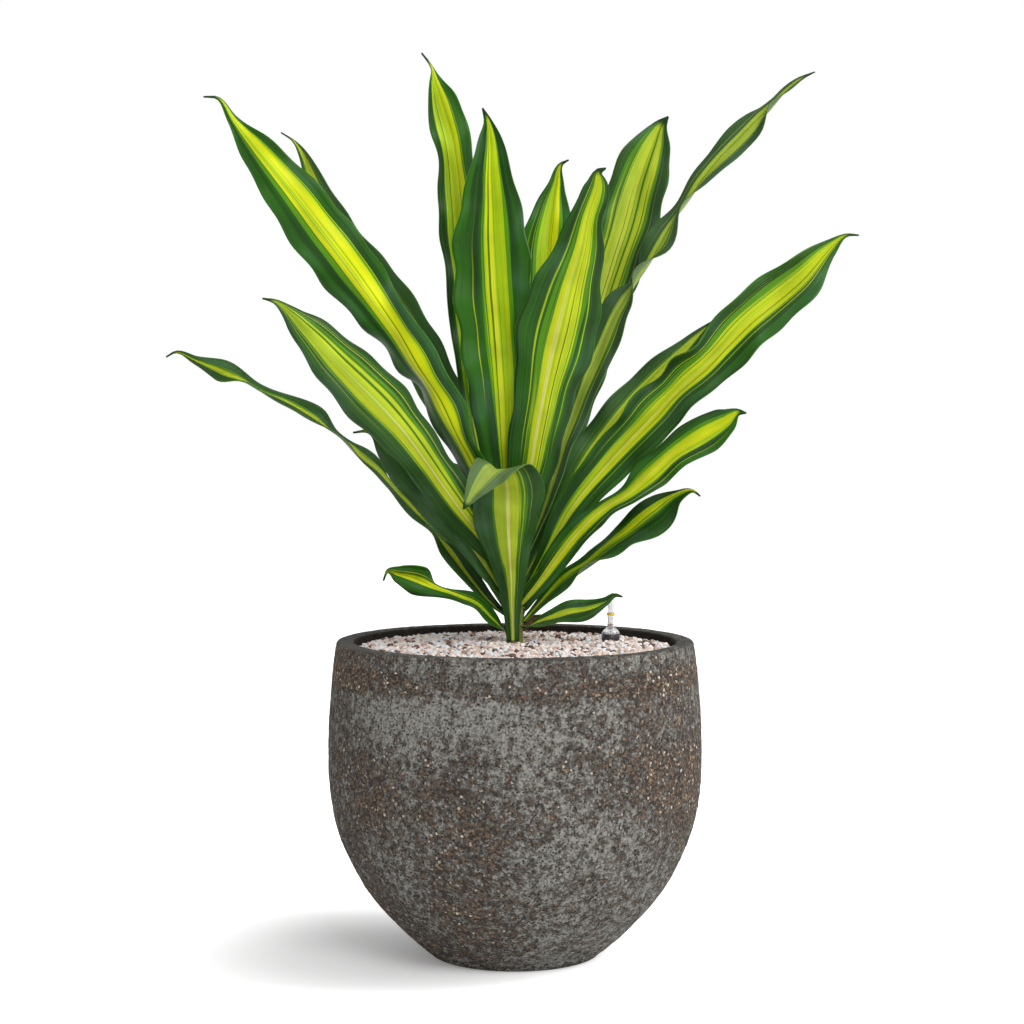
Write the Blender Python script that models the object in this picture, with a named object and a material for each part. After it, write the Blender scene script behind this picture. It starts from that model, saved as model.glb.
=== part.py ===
"""Potted dracaena: a cement planter with its growing medium, gravel, plant and water level gauge.

Units are metres with +Z up. The origin is the centre of the planter's flat base.
The leaf stations alone are written in millimetres and are scaled when they are read.
"""

import math
from dataclasses import dataclass

import bmesh
import bpy
from mathutils import Vector

MM = 0.001
GAP = 0.0003

PLANTER_SEGMENTS = 48
PLANTER_HEIGHT = 0.318
RIM_RADIUS = 0.179
RIM_INNER_RADIUS = 0.160
BASE_RADIUS = 0.080

# Planter wall outlines as (radius, height), from the base edge up and from the rim down.
OUTER_WALL = (
    (BASE_RADIUS, 0.0),
    (0.086, 0.003),
    (0.106, 0.019),
    (0.134, 0.048),
    (0.154, 0.073),
    (0.1695, 0.104),
    (0.1835, 0.147),
    (0.188, 0.198),
    (0.186, 0.255),
    (RIM_RADIUS + 0.001, 0.315),
)
RIM = (
    (RIM_RADIUS - 0.002, PLANTER_HEIGHT),
    (RIM_INNER_RADIUS + 0.002, PLANTER_HEIGHT),
)
INNER_WALL = (
    (RIM_INNER_RADIUS, 0.315),
    (0.165, 0.262),
    (0.168, 0.200),
    (0.163, 0.150),
    (0.150, 0.108),
    (0.132, 0.076),
    (0.104, 0.047),
    (0.068, 0.028),
)
INNER_FLOOR = 0.028

MEDIUM_TOP = 0.296
GRAVEL_EDGE_TOP = 0.3075
GRAVEL_MOUND_TOP = 0.3105
MOUND_SHARE = 0.6
FILL_CLEARANCE = 0.0006
FLOOR_CLEARANCE = 0.001
CUT_OVERRUN = 0.01
STEM_SEGMENTS = 24
GAUGE_SEGMENTS = 20
SIGHT_SEGMENTS = 16

STEM_X = 0.0
STEM_Y = 0.030
STEM_BOTTOM = 0.230
STEM_TOP = 0.449
STEM_RADIUS = 0.0092
STEM_TOP_RADIUS = 0.0079

GAUGE_X = 0.0985
GAUGE_Y = 0.060
GAUGE_BOTTOM = 0.090
GAUGE_TUBE_RADIUS = 0.0080
GAUGE_BORE = 0.0055
GAUGE_SEAT_BORE = 0.0030
GAUGE_SEAT_TOP = 0.0940
COLLAR_RADIUS = 0.0093
COLLAR_BOTTOM = 0.3115
COLLAR_TOP = 0.3175
SHOULDER_TOP = 0.3245
SIGHT_RADIUS = 0.0034
SIGHT_BORE = 0.0025
SIGHT_TOP = 0.3570
CAP_TOP = 0.3600
MARK_HEIGHT = 0.338
MARK_HALF_HEIGHT = 0.0012
MARK_RADIUS = SIGHT_RADIUS + 0.0008
ROD_RADIUS = 0.0008
ROD_BORE = 0.0014
POINTER_BOTTOM = 0.3250
POINTER_HEIGHT = 0.0030
POINTER_RADIUS = 0.0021
FLOAT_LENGTH = 0.025
FLOAT_RADIUS = 0.0046

LEAF_THICKNESS = 0.0012
LEAF_RINGS = 15
BLADE_SPLITS = (-0.5, 0.0, 0.5)


@dataclass(frozen=True)
class Leaf:
    """A leaf as stations along its midrib, from the stem to the tip.

    A station is (x, y, z, roll, width): millimetres, with the roll in degrees about the midrib.
    The fold lifts both margins towards the blade's face, or away from it when negative.
    Rolls count from a blade that faces -Y, or from one that lies across X where across_x is set.
    """

    name: str
    fold: float
    stations: tuple
    across_x: bool = False


LEAVES = (
    Leaf(
        "leaf_front_folded",
        fold=-15,
        across_x=True,
        stations=(
            (-2, 18.6, 314, 0, 13),
            (-3, 14, 344, 0, 18),
            (-4, 2, 383, 0, 34),
            (-6, -15, 418, 0, 58),
            (-7, -30, 446, 0, 72),
            (-8, -46, 473, 0, 70),
            (-13, -63, 490, 0, 56),
            (-24, -77, 490, 0, 40),
            (-38, -85, 473, 0, 22),
            (-50, -88, 453, 0, 1.5),
        ),
    ),
    Leaf(
        "leaf_left_low",
        fold=14,
        stations=(
            (-10, 27.3, 323, -100, 11),
            (-23, 21, 336, -45, 16),
            (-37, 11, 351, -50, 20),
            (-55, -4, 360, -52, 22),
            (-77, -14, 369, -66, 20),
            (-100, -24, 381, -10, 31),
            (-116, -31, 386, -10, 18),
            (-126, -36, 389, -30, 4),
            (-130, -38, 380, -30, 1.5),
        ),
    ),
    Leaf(
        "leaf_right_low",
        fold=14,
        stations=(
            (8.3, 24.4, 326, 120, 12),
            (30, 16, 335, 45, 20),
            (52, 10, 342, 42, 28),
            (75, 5, 348, 45, 28),
            (91, 2, 355, 40, 12),
            (101, 0, 362, 40, 4),
            (108, -1, 361, 40, 1.5),
        ),
    ),
    Leaf(
        "leaf_right_second",
        fold=14,
        stations=(
            (9.9, 33.1, 332, 72, 12),
            (29, 38, 352, 60, 18),
            (51, 38, 374, 48, 26),
            (76, 34, 392, 72, 28),
            (112, 24, 418, 50, 36),
            (143, 12, 443, 20, 37),
            (165, 4, 462, 45, 18),
            (178, -2, 467, 30, 4),
            (185, -4, 462, 30, 1.5),
        ),
    ),
    Leaf(
        "leaf_left_twisted",
        fold=14,
        stations=(
            (-9.7, 32.6, 338, -80, 12),
            (-27, 38, 354, -50, 15),
            (-50, 42, 383, -30, 22),
            (-66, 43, 406, -20, 26),
            (-83, 44, 424, -78, 24),
            (-105, 44, 451, -40, 26),
            (-128, 42, 473, -75, 24),
            (-153, 38, 499, -30, 22),
            (-186, 32, 528, -82, 20),
            (-212, 28, 547, -40, 22),
            (-261, 22, 570, -84, 18),
            (-295, 20, 588, -5, 22),
            (-321, 20, 598, -10, 9),
            (-341, 20, 606, -30, 3),
            (-351, 20, 601, -30, 1.5),
        ),
    ),
    Leaf(
        "leaf_right_young",
        fold=14,
        stations=(
            (3.9, 39.4, 343, 17, 10),
            (15, 49, 351, 40, 12),
            (26, 56, 365, 20, 18),
            (35, 61, 382, 0, 4),
        ),
    ),
    Leaf(
        "leaf_right_third",
        fold=-16,
        stations=(
            (5.6, 21.3, 350, -29, 12),
            (22, 13, 371, 20, 20),
            (41, 2, 398, 0, 26),
            (63, -14, 427, 0, 26),
            (88, -34, 452, 20, 20),
            (111, -52, 467, 0, 22),
            (129, -68, 485, 0, 34),
            (153, -86, 508, 0, 33),
            (181, -100, 527, 0, 39),
            (201, -108, 539, 10, 26),
            (212, -112, 547, 30, 8),
            (220, -114, 546, 30, 1.5),
        ),
    ),
    Leaf(
        "leaf_left_third",
        fold=16,
        stations=(
            (-9.7, 27.1, 355, -100, 12),
            (-19, 22, 371, -40, 16),
            (-48, 8, 417, -10, 28),
            (-79, -6, 458, 0, 42),
            (-106, -16, 493, 0, 46),
            (-129, -24, 516, -10, 26),
            (-145, -28, 527, -30, 5),
            (-160, -30, 526, -30, 1.5),
        ),
    ),
    Leaf(
        "leaf_right_long",
        fold=16,
        stations=(
            (10, 28.1, 367, 95, 12),
            (31, 21, 400, 55, 24),
            (57, 14, 449, 20, 34),
            (93, 2, 494, 25, 44),
            (128, -12, 532, 25, 50),
            (160, -24, 565, 48, 54),
            (191, -34, 596, 5, 50),
            (225, -42, 632, 0, 54),
            (278, -50, 677, 0, 46),
            (306, -54, 706, 20, 18),
            (322, -56, 718, 40, 4),
            (334, -57, 718, 40, 1.5),
        ),
    ),
    Leaf(
        "leaf_right_back",
        fold=16,
        stations=(
            (8.4, 35.5, 373, 59, 12),
            (25, 48, 405, 50, 22),
            (44, 52, 440, 20, 34),
            (67, 58, 481, 10, 40),
            (88, 60, 511, 5, 48),
            (115, 62, 548, 0, 42),
            (149, 64, 586, 0, 34),
            (179, 64, 616, 10, 16),
            (202, 64, 638, 30, 1.5),
        ),
    ),
    Leaf(
        "leaf_left_broad",
        fold=-16,
        stations=(
            (-5.7, 21.7, 376, 37, 12),
            (-15, 12, 397, -10, 22),
            (-37, -4, 426, 0, 34),
            (-56, -18, 451, 0, 42),
            (-87, -42, 497, 0, 46),
            (-109, -60, 528, 0, 53),
            (-129, -74, 551, 0, 61),
            (-170, -100, 594, 0, 50),
            (-195, -118, 622, 0, 34),
            (-214, -128, 642, -10, 14),
            (-226, -131, 651, -20, 5),
            (-238, -133, 654, -40, 1.5),
        ),
    ),
    Leaf(
        "leaf_left_long",
        fold=-16,
        stations=(
            (-9.9, 28, 388, 80, 12),
            (-15, 20, 417, 60, 20),
            (-32, 4, 464, 40, 30),
            (-60, -18, 522, 45, 42),
            (-93, -40, 584, 38, 54),
            (-133, -58, 646, 0, 50),
            (-160, -70, 684, 0, 60),
            (-184, -80, 716, 0, 60),
            (-214, -90, 756, 0, 52),
            (-245, -97, 795, 0, 34),
            (-269, -101, 826, -20, 12),
            (-282, -103, 845, -40, 4),
            (-296, -104, 846, -40, 1.5),
        ),
    ),
    Leaf(
        "leaf_right_twisted",
        fold=16,
        stations=(
            (9.4, 33.8, 393, 65, 11),
            (33, 43, 456, 50, 26),
            (51, 68, 517, 30, 30),
            (71, 78, 570, 20, 34),
            (91, 86, 616, 10, 36),
            (107, 90, 651, 20, 34),
            (129, 92, 684, 74, 28),
            (150, 94, 719, 30, 28),
            (174, 96, 760, 74, 24),
            (204, 97, 799, 30, 26),
            (239, 98, 835, 10, 29),
            (268, 99, 864, 60, 18),
            (294, 99, 888, 60, 8),
            (310, 99, 896, 60, 1.5),
        ),
    ),
    Leaf(
        "leaf_back_short",
        fold=16,
        stations=(
            (-6, 37.3, 399, 138, 12),
            (-11, 58, 435, 170, 26),
            (-31, 90, 485, 180, 38),
            (-55, 112, 526, 180, 40),
            (-79, 128, 563, 180, 38),
            (-95, 140, 602, 180, 1.5),
        ),
    ),
    Leaf(
        "leaf_back_left",
        fold=16,
        stations=(
            (-3.7, 38.6, 405, 155, 12),
            (-11, 49, 435, 122, 16),
            (-28, 60, 476, 60, 30),
            (-55, 76, 527, 20, 40),
            (-82, 88, 578, 0, 46),
            (-107, 94, 620, 0, 52),
            (-136, 98, 663, 0, 54),
            (-163, 100, 703, 0, 46),
            (-187, 100, 744, 0, 34),
            (-206, 100, 781, 0, 22),
            (-219, 100, 811, -10, 10),
            (-230, 100, 826, -40, 3),
            (-242, 100, 834, -40, 1.5),
        ),
    ),
    Leaf(
        "leaf_back_right",
        fold=14,
        stations=(
            (1.5, 39.3, 410, 12, 11),
            (15, 67, 440, 20, 20),
            (49, 104, 516, 0, 36),
            (79, 130, 610, 0, 50),
            (98, 146, 674, 0, 58),
            (119, 156, 739, 0, 67),
            (133, 162, 791, 0, 62),
            (146, 165, 828, 0, 42),
            (155, 166, 848, 10, 16),
            (163, 166, 858, 30, 1.5),
        ),
    ),
    Leaf(
        "leaf_front_right",
        fold=-16,
        stations=(
            (1, 20, 417, 0, 13),
            (6, 10, 445, 0, 26),
            (15, -6, 488, 0, 50),
            (21, -18, 525, 0, 58),
            (28, -28, 563, 0, 62),
            (35, -38, 600, 0, 78),
            (42, -46, 629, 0, 82),
            (51, -56, 665, 0, 70),
            (63, -67, 706, 0, 48),
            (69, -75, 735, 0, 34),
            (78, -83, 763, 0, 24),
            (80, -86, 777, 20, 8),
            (87, -88, 780, 40, 1.5),
        ),
    ),
    Leaf(
        "leaf_tall_left",
        fold=16,
        stations=(
            (-9.3, 32.8, 424, -76, 12),
            (-15, 37, 446, -85, 15),
            (-32, 48, 497, -50, 30),
            (-41, 52, 558, -10, 28),
            (-46, 54, 622, 0, 42),
            (-50, 56, 704, 0, 52),
            (-55, 57, 761, 0, 48),
            (-62, 58, 817, 0, 38),
            (-72, 59, 854, 0, 36),
            (-81, 60, 881, -20, 16),
            (-86, 60, 897, -60, 6),
            (-95, 60, 910, -40, 1.5),
        ),
    ),
    Leaf(
        "leaf_back_centre",
        fold=14,
        stations=(
            (2.1, 39.2, 430, 14, 12),
            (5, 50, 456, 0, 24),
            (16, 70, 517, 0, 36),
            (24, 88, 599, 0, 52),
            (31, 100, 672, 0, 58),
            (34, 106, 724, 0, 54),
            (38, 110, 753, 0, 40),
            (43, 112, 781, 0, 18),
            (48, 112, 802, 30, 5),
            (56, 112, 807, 30, 1.5),
        ),
    ),
    Leaf(
        "leaf_centre_tall",
        fold=14,
        stations=(
            (-5.6, 22.8, 437, 41, 12),
            (-9, 18, 467, -10, 30),
            (-11, 12, 506, 0, 48),
            (-13, 4, 558, 0, 66),
            (-17, -4, 618, 0, 76),
            (-21, -10, 677, 0, 80),
            (-23, -14, 716, 0, 76),
            (-24, -18, 755, 0, 58),
            (-25, -23, 789, 0, 40),
            (-25, -27, 817, 0, 22),
            (-27, -29, 832, 0, 8),
            (-32, -30, 844, 30, 1.5),
        ),
    ),
    Leaf(
        "leaf_dried",
        fold=10,
        stations=(
            (9, 34.6, 330, 60, 8),
            (17, 36, 334, 40, 8),
            (29, 37, 336, 30, 7),
            (38, 38, 337, 30, 3),
        ),
    ),
    Leaf(
        "leaf_back_low",
        fold=16,
        across_x=True,
        stations=(
            (0.1, 40.3, 324, 0, 12),
            (0, 52, 336, 0, 20),
            (-2, 78, 351, 0, 32),
            (-4, 112, 364, 0, 40),
            (-5, 150, 372, 0, 34),
            (-5, 176, 373, 0, 14),
            (-6, 188, 368, 0, 1.5),
        ),
    ),
    Leaf(
        "leaf_back_spread_left",
        fold=16,
        across_x=True,
        stations=(
            (-6.7, 38, 342, -30, 12),
            (-12, 50, 357, -20, 22),
            (-24, 74, 386, -10, 38),
            (-39, 110, 422, 0, 48),
            (-52, 140, 454, 0, 46),
            (-63, 164, 478, 0, 26),
            (-70, 176, 491, 0, 1.5),
        ),
    ),
    Leaf(
        "leaf_back_spread_right",
        fold=16,
        across_x=True,
        stations=(
            (6.6, 37.8, 358, 30, 12),
            (13, 50, 374, 20, 22),
            (29, 78, 407, 10, 40),
            (45, 112, 442, 0, 50),
            (62, 142, 475, 0, 46),
            (75, 166, 498, 0, 24),
            (83, 178, 508, 0, 1.5),
        ),
    ),
    Leaf(
        "leaf_back_arching",
        fold=16,
        across_x=True,
        stations=(
            (0.1, 39.9, 383, 0, 12),
            (0, 56, 406, 0, 24),
            (0, 86, 454, 0, 42),
            (-1, 118, 516, 0, 58),
            (-3, 146, 579, 0, 62),
            (-5, 168, 643, 0, 50),
            (-6, 184, 697, 0, 26),
            (-7, 194, 729, 0, 1.5),
        ),
    ),
)


def clear_scene():
    """Remove every object and mesh that the file holds."""
    for item in list(bpy.data.objects):
        bpy.data.objects.remove(item, do_unlink=True)
    for mesh in list(bpy.data.meshes):
        bpy.data.meshes.remove(mesh)


def make_material(name, color, roughness, metallic=0.0, alpha=1.0):
    """Return a Principled material."""
    material = bpy.data.materials.new(name)
    material.use_nodes = True
    shader = material.node_tree.nodes["Principled BSDF"]
    shader.inputs["Base Color"].default_value = (*color, 1.0)
    shader.inputs["Roughness"].default_value = roughness
    shader.inputs["Metallic"].default_value = metallic
    shader.inputs["Alpha"].default_value = alpha
    return material


def make_object(name, mesh_builder, material, location=(0.0, 0.0, 0.0)):
    """Turn a bmesh into a named object with a material."""
    mesh = bpy.data.meshes.new(name)
    bmesh.ops.recalc_face_normals(mesh_builder, faces=mesh_builder.faces)
    mesh_builder.to_mesh(mesh)
    mesh_builder.free()
    item = bpy.data.objects.new(name, mesh)
    item.location = location
    mesh.materials.append(material)
    bpy.context.scene.collection.objects.link(item)
    return item


def turned(name, profile, segments, material, location=(0.0, 0.0, 0.0)):
    """Spin a (radius, height) outline about Z. Ends on the axis close, others join up as a ring."""
    shape = bmesh.new()
    points = [shape.verts.new((radius, 0.0, height)) for radius, height in profile]
    edges = [shape.edges.new(pair) for pair in zip(points, points[1:])]
    if profile[0][0] > 0.0:
        edges.append(shape.edges.new((points[-1], points[0])))
    bmesh.ops.spin(
        shape,
        geom=points + edges,
        cent=(0.0, 0.0, 0.0),
        axis=(0.0, 0.0, 1.0),
        angle=math.tau,
        steps=segments,
        use_merge=True,
    )
    bmesh.ops.remove_doubles(shape, verts=shape.verts, dist=1e-6)
    item = make_object(name, shape, material, location)
    item.data.shade_smooth()
    item.data.set_sharp_from_angle(angle=math.radians(35.0))
    return item


def cut_hole(target, radius, bottom, x, y, segments=24):
    """Bore a blind or through hole down into the target from above."""
    height = PLANTER_HEIGHT + 0.05 - bottom
    profile = ((0.0, 0.0), (radius, 0.0), (radius, height), (0.0, height))
    cutter = turned(f"{target.name}_cutter_{segments}", profile, segments, None, (x, y, bottom))
    cutter.hide_render = True
    cutter.display_type = "WIRE"
    cut = target.modifiers.new(cutter.name, "BOOLEAN")
    cut.operation = "DIFFERENCE"
    cut.solver = "EXACT"
    cut.object = cutter


def wall_radius(height):
    """Return the planter's inner radius at a height."""
    ring = ((0.0, INNER_FLOOR), *reversed(INNER_WALL))
    for (r0, z0), (r1, z1) in zip(ring, ring[1:]):
        if z0 <= height <= z1:
            return r0 + (r1 - r0) * (height - z0) / (z1 - z0)
    return RIM_INNER_RADIUS


def build_planter(material):
    """Make the planter: a solid bowl with a flat base and a rounded rim."""
    profile = ((0.0, 0.0), *OUTER_WALL, *RIM, *INNER_WALL, (0.0, INNER_FLOOR))
    return turned("planter", profile, PLANTER_SEGMENTS, material)


def build_medium(material):
    """Fill the planter with granules up to the gravel, bored for the stem and the gauge."""
    rings = [point for point in reversed(INNER_WALL) if point[1] < MEDIUM_TOP]
    inset = [(radius - FILL_CLEARANCE, height) for radius, height in rings]
    edge = (wall_radius(MEDIUM_TOP) - FILL_CLEARANCE, MEDIUM_TOP)
    floor = INNER_FLOOR + GAP
    profile = ((0.0, floor), (inset[0][0] - FLOOR_CLEARANCE, floor), *inset[1:], edge, (0.0, MEDIUM_TOP))
    medium = turned("growing_medium", profile, PLANTER_SEGMENTS, material)
    cut_hole(medium, STEM_RADIUS + GAP, STEM_BOTTOM - GAP, STEM_X, STEM_Y, STEM_SEGMENTS)
    cut_hole(medium, GAUGE_TUBE_RADIUS + GAP, GAUGE_BOTTOM - GAP, GAUGE_X, GAUGE_Y, GAUGE_SEGMENTS)
    return medium


def build_gravel(material):
    """Lay the gravel as one slightly mounded disc around the stem and the gauge."""
    bottom = MEDIUM_TOP + GAP
    edge = wall_radius(GRAVEL_EDGE_TOP) - FILL_CLEARANCE
    profile = (
        (0.0, bottom),
        (edge, bottom),
        (edge, GRAVEL_EDGE_TOP),
        (MOUND_SHARE * edge, GRAVEL_MOUND_TOP),
        (0.0, GRAVEL_MOUND_TOP),
    )
    gravel = turned("gravel_topping", profile, PLANTER_SEGMENTS, material)
    cut_hole(gravel, STEM_RADIUS + GAP, bottom - CUT_OVERRUN, STEM_X, STEM_Y, STEM_SEGMENTS)
    cut_hole(gravel, GAUGE_TUBE_RADIUS + GAP, bottom - CUT_OVERRUN, GAUGE_X, GAUGE_Y, GAUGE_SEGMENTS)
    return gravel


def build_stem(material):
    """Make the cane: buried foot, slight taper and a rounded growing tip."""
    length = STEM_TOP - STEM_BOTTOM
    buried = GRAVEL_MOUND_TOP - STEM_BOTTOM
    profile = (
        (0.0, 0.0),
        (STEM_RADIUS, 0.0),
        (STEM_RADIUS, buried),
        (STEM_TOP_RADIUS, length - 0.004),
        (0.6 * STEM_TOP_RADIUS, length - 0.001),
        (0.0, length),
    )
    return turned("stem", profile, STEM_SEGMENTS, material, (STEM_X, STEM_Y, STEM_BOTTOM))


def build_gauge(materials):
    """Make the water level gauge: fixed housing pieces, and the float with its rod and pointer."""
    place = (GAUGE_X, GAUGE_Y, 0.0)
    body = (
        (GAUGE_SEAT_BORE, GAUGE_BOTTOM),
        (GAUGE_TUBE_RADIUS, GAUGE_BOTTOM),
        (GAUGE_TUBE_RADIUS, COLLAR_BOTTOM),
        (COLLAR_RADIUS, COLLAR_BOTTOM),
        (COLLAR_RADIUS, COLLAR_TOP),
        (GAUGE_BORE, COLLAR_TOP),
        (GAUGE_BORE, GAUGE_SEAT_TOP),
        (GAUGE_SEAT_BORE, GAUGE_SEAT_TOP),
    )
    turned("gauge_body", body, GAUGE_SEGMENTS, materials["gauge_dark"], place)
    shoulder = (
        (ROD_BORE, COLLAR_TOP + GAP),
        (COLLAR_RADIUS, COLLAR_TOP + GAP),
        (COLLAR_RADIUS - 0.001, COLLAR_TOP + 0.002),
        (SIGHT_RADIUS + 0.001, SHOULDER_TOP),
        (ROD_BORE, SHOULDER_TOP),
    )
    turned("gauge_shoulder", shoulder, GAUGE_SEGMENTS, materials["gauge_clear"], place)
    tube = (
        (SIGHT_BORE, SHOULDER_TOP + GAP),
        (SIGHT_RADIUS, SHOULDER_TOP + GAP),
        (SIGHT_RADIUS, SIGHT_TOP),
        (SIGHT_BORE, SIGHT_TOP),
    )
    turned("gauge_sight_tube", tube, SIGHT_SEGMENTS, materials["gauge_clear"], place)
    cap = (
        (0.0, SIGHT_TOP + GAP),
        (SIGHT_RADIUS + 0.0002, SIGHT_TOP + GAP),
        (SIGHT_RADIUS, CAP_TOP - 0.0006),
        (0.6 * SIGHT_RADIUS, CAP_TOP),
        (0.0, CAP_TOP),
    )
    turned("gauge_cap", cap, SIGHT_SEGMENTS, materials["gauge_clear"], place)
    mark = (
        (SIGHT_RADIUS + GAP, MARK_HEIGHT - MARK_HALF_HEIGHT),
        (MARK_RADIUS, MARK_HEIGHT - MARK_HALF_HEIGHT),
        (MARK_RADIUS, MARK_HEIGHT + MARK_HALF_HEIGHT),
        (SIGHT_RADIUS + GAP, MARK_HEIGHT + MARK_HALF_HEIGHT),
    )
    turned("gauge_mark", mark, SIGHT_SEGMENTS, materials["gauge_yellow"], place)
    float_bottom = GAUGE_SEAT_TOP + GAP
    float_top = float_bottom + FLOAT_LENGTH
    floating = (
        (ROD_RADIUS + GAP, float_bottom),
        (FLOAT_RADIUS, float_bottom),
        (FLOAT_RADIUS, float_top),
        (ROD_RADIUS + GAP, float_top),
    )
    turned("gauge_float", floating, GAUGE_SEGMENTS, materials["gauge_foam"], place)
    rod_bottom = float_bottom + 0.002
    rod_top = POINTER_BOTTOM + POINTER_HEIGHT
    rod = ((0.0, rod_bottom), (ROD_RADIUS, rod_bottom), (ROD_RADIUS, rod_top), (0.0, rod_top))
    turned("gauge_rod", rod, 10, materials["gauge_rod"], place)
    pointer = (
        (ROD_RADIUS + GAP, POINTER_BOTTOM),
        (POINTER_RADIUS, POINTER_BOTTOM),
        (POINTER_RADIUS, rod_top),
        (ROD_RADIUS + GAP, rod_top),
    )
    turned("gauge_pointer", pointer, SIGHT_SEGMENTS, materials["gauge_red"], place)


def sample_stations(stations, count):
    """Return evenly spaced values on a smooth curve through the stations."""
    places = [Vector(row[:3]) for row in stations]
    reach = [0.0]
    for start, end in zip(places, places[1:]):
        reach.append(reach[-1] + (end - start).length)
    slopes = [
        [(b - a) / (t1 - t0) for a, b in zip(row0, row1)]
        for row0, row1, t0, t1 in zip(stations, stations[1:], reach, reach[1:])
    ]
    middles = [[(a + b) / 2.0 for a, b in zip(s0, s1)] for s0, s1 in zip(slopes, slopes[1:])]
    tangents = [slopes[0], *middles, slopes[-1]]
    samples = []
    for index in range(count):
        distance = reach[-1] * index / (count - 1)
        span = max(i for i in range(len(reach) - 1) if reach[i] <= distance)
        size = reach[span + 1] - reach[span]
        t = (distance - reach[span]) / size
        weights = (2 * t**3 - 3 * t**2 + 1, t**3 - 2 * t**2 + t, 3 * t**2 - 2 * t**3, t**3 - t**2)
        rows = zip(stations[span], tangents[span], stations[span + 1], tangents[span + 1])
        pulls = [(p0, m0 * size, p1, m1 * size) for p0, m0, p1, m1 in rows]
        samples.append([sum(weight * pull for weight, pull in zip(weights, row)) for row in pulls])
    return samples


def blade_axes(tangent, roll, across_x):
    """Return the blade's sideways and face directions at a station."""
    if across_x:
        across = Vector((1.0, 0.0, 0.0))
        level = (across - across.dot(tangent) * tangent).normalized()
    else:
        level = tangent.cross(Vector((0.0, -1.0, 0.0))).normalized()
    face = level.cross(tangent)
    side = math.cos(roll) * level + math.sin(roll) * face
    return side, side.cross(tangent)


def build_leaf(leaf, material):
    """Loft a thin closed blade with sharp margins along the leaf's midrib."""
    samples = sample_stations(leaf.stations, LEAF_RINGS)
    spots = [Vector(sample[:3]) * MM for sample in samples]
    fold = math.radians(leaf.fold)
    half_thickness = LEAF_THICKNESS / 2.0
    shape = bmesh.new()
    rings = []
    for index, (spot, sample) in enumerate(zip(spots, samples)):
        ahead = spots[min(index + 1, LEAF_RINGS - 1)]
        behind = spots[max(index - 1, 0)]
        side, face = blade_axes((ahead - behind).normalized(), math.radians(sample[3]), leaf.across_x)
        half_width = max(sample[4] / 2.0, 0.8) * MM
        outline = [(-1.0, 0.0)]
        outline += [(split, half_thickness) for split in BLADE_SPLITS]
        outline += [(1.0, 0.0)]
        outline += [(split, -half_thickness) for split in reversed(BLADE_SPLITS)]
        ring = []
        for across, lift in outline:
            sideways = side * (across * half_width * math.cos(fold))
            outwards = face * (abs(across) * half_width * math.sin(fold) + lift)
            ring.append(shape.verts.new(spot + sideways + outwards))
        rings.append(ring)
    for lower, upper in zip(rings, rings[1:]):
        for a, b, c, d in zip(lower, lower[1:] + lower[:1], upper[1:] + upper[:1], upper):
            shape.faces.new((a, b, c, d))
    shape.faces.new(reversed(rings[0]))
    shape.faces.new(rings[-1])
    bmesh.ops.triangulate(shape, faces=shape.faces)
    item = make_object(leaf.name, shape, material)
    item.data.shade_smooth()
    return item


def main():
    """Build every piece of the potted plant."""
    clear_scene()
    cement = make_material("cement", (0.17, 0.16, 0.15), 0.9)
    granules = make_material("granules", (0.20, 0.10, 0.06), 0.95)
    gravel = make_material("gravel", (0.75, 0.68, 0.64), 0.8)
    cane = make_material("cane", (0.20, 0.28, 0.06), 0.7)
    blade = make_material("leaf", (0.25, 0.42, 0.03), 0.4)
    dried = make_material("dried_leaf", (0.12, 0.06, 0.03), 0.8)
    gauge = {
        "gauge_dark": make_material("gauge_dark", (0.03, 0.02, 0.025), 0.35),
        "gauge_clear": make_material("gauge_clear", (0.85, 0.85, 0.90), 0.1, alpha=0.4),
        "gauge_yellow": make_material("gauge_yellow", (0.90, 0.65, 0.05), 0.4),
        "gauge_red": make_material("gauge_red", (0.75, 0.05, 0.04), 0.4),
        "gauge_rod": make_material("gauge_rod", (0.80, 0.80, 0.80), 0.4),
        "gauge_foam": make_material("gauge_foam", (0.85, 0.85, 0.82), 0.8),
    }
    build_planter(cement)
    build_medium(granules)
    build_gravel(gravel)
    build_stem(cane)
    build_gauge(gauge)
    for leaf in LEAVES:
        build_leaf(leaf, dried if leaf.name == "leaf_dried" else blade)


main()
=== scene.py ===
"""Potted dracaena: finished surfaces, leaves, gravel, gauge and studio around the construction frame.

Sizes are metres, +Z up, with the origin at the centre of the planter's flat base.
Leaf stations alone are millimetres, scaled when they are read.
"""

import logging
import math
import random
from dataclasses import dataclass
from enum import Enum

import bpy
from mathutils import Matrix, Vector, noise


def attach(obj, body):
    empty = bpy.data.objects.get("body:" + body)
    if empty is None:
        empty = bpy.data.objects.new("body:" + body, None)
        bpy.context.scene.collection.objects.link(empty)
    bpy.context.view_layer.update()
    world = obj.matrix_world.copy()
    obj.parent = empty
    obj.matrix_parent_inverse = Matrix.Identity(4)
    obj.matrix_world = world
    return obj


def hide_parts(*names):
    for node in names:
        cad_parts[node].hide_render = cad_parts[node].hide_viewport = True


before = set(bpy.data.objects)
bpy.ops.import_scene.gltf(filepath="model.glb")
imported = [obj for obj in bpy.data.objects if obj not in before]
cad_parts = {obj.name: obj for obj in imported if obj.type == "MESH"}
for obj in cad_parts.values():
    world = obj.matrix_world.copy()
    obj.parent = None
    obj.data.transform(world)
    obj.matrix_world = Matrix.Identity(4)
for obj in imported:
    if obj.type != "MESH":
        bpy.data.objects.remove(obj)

LOG = logging.getLogger("potted_dracaena")
MM = 0.001
PLANT = "plant"
FLOAT = "float"

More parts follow.
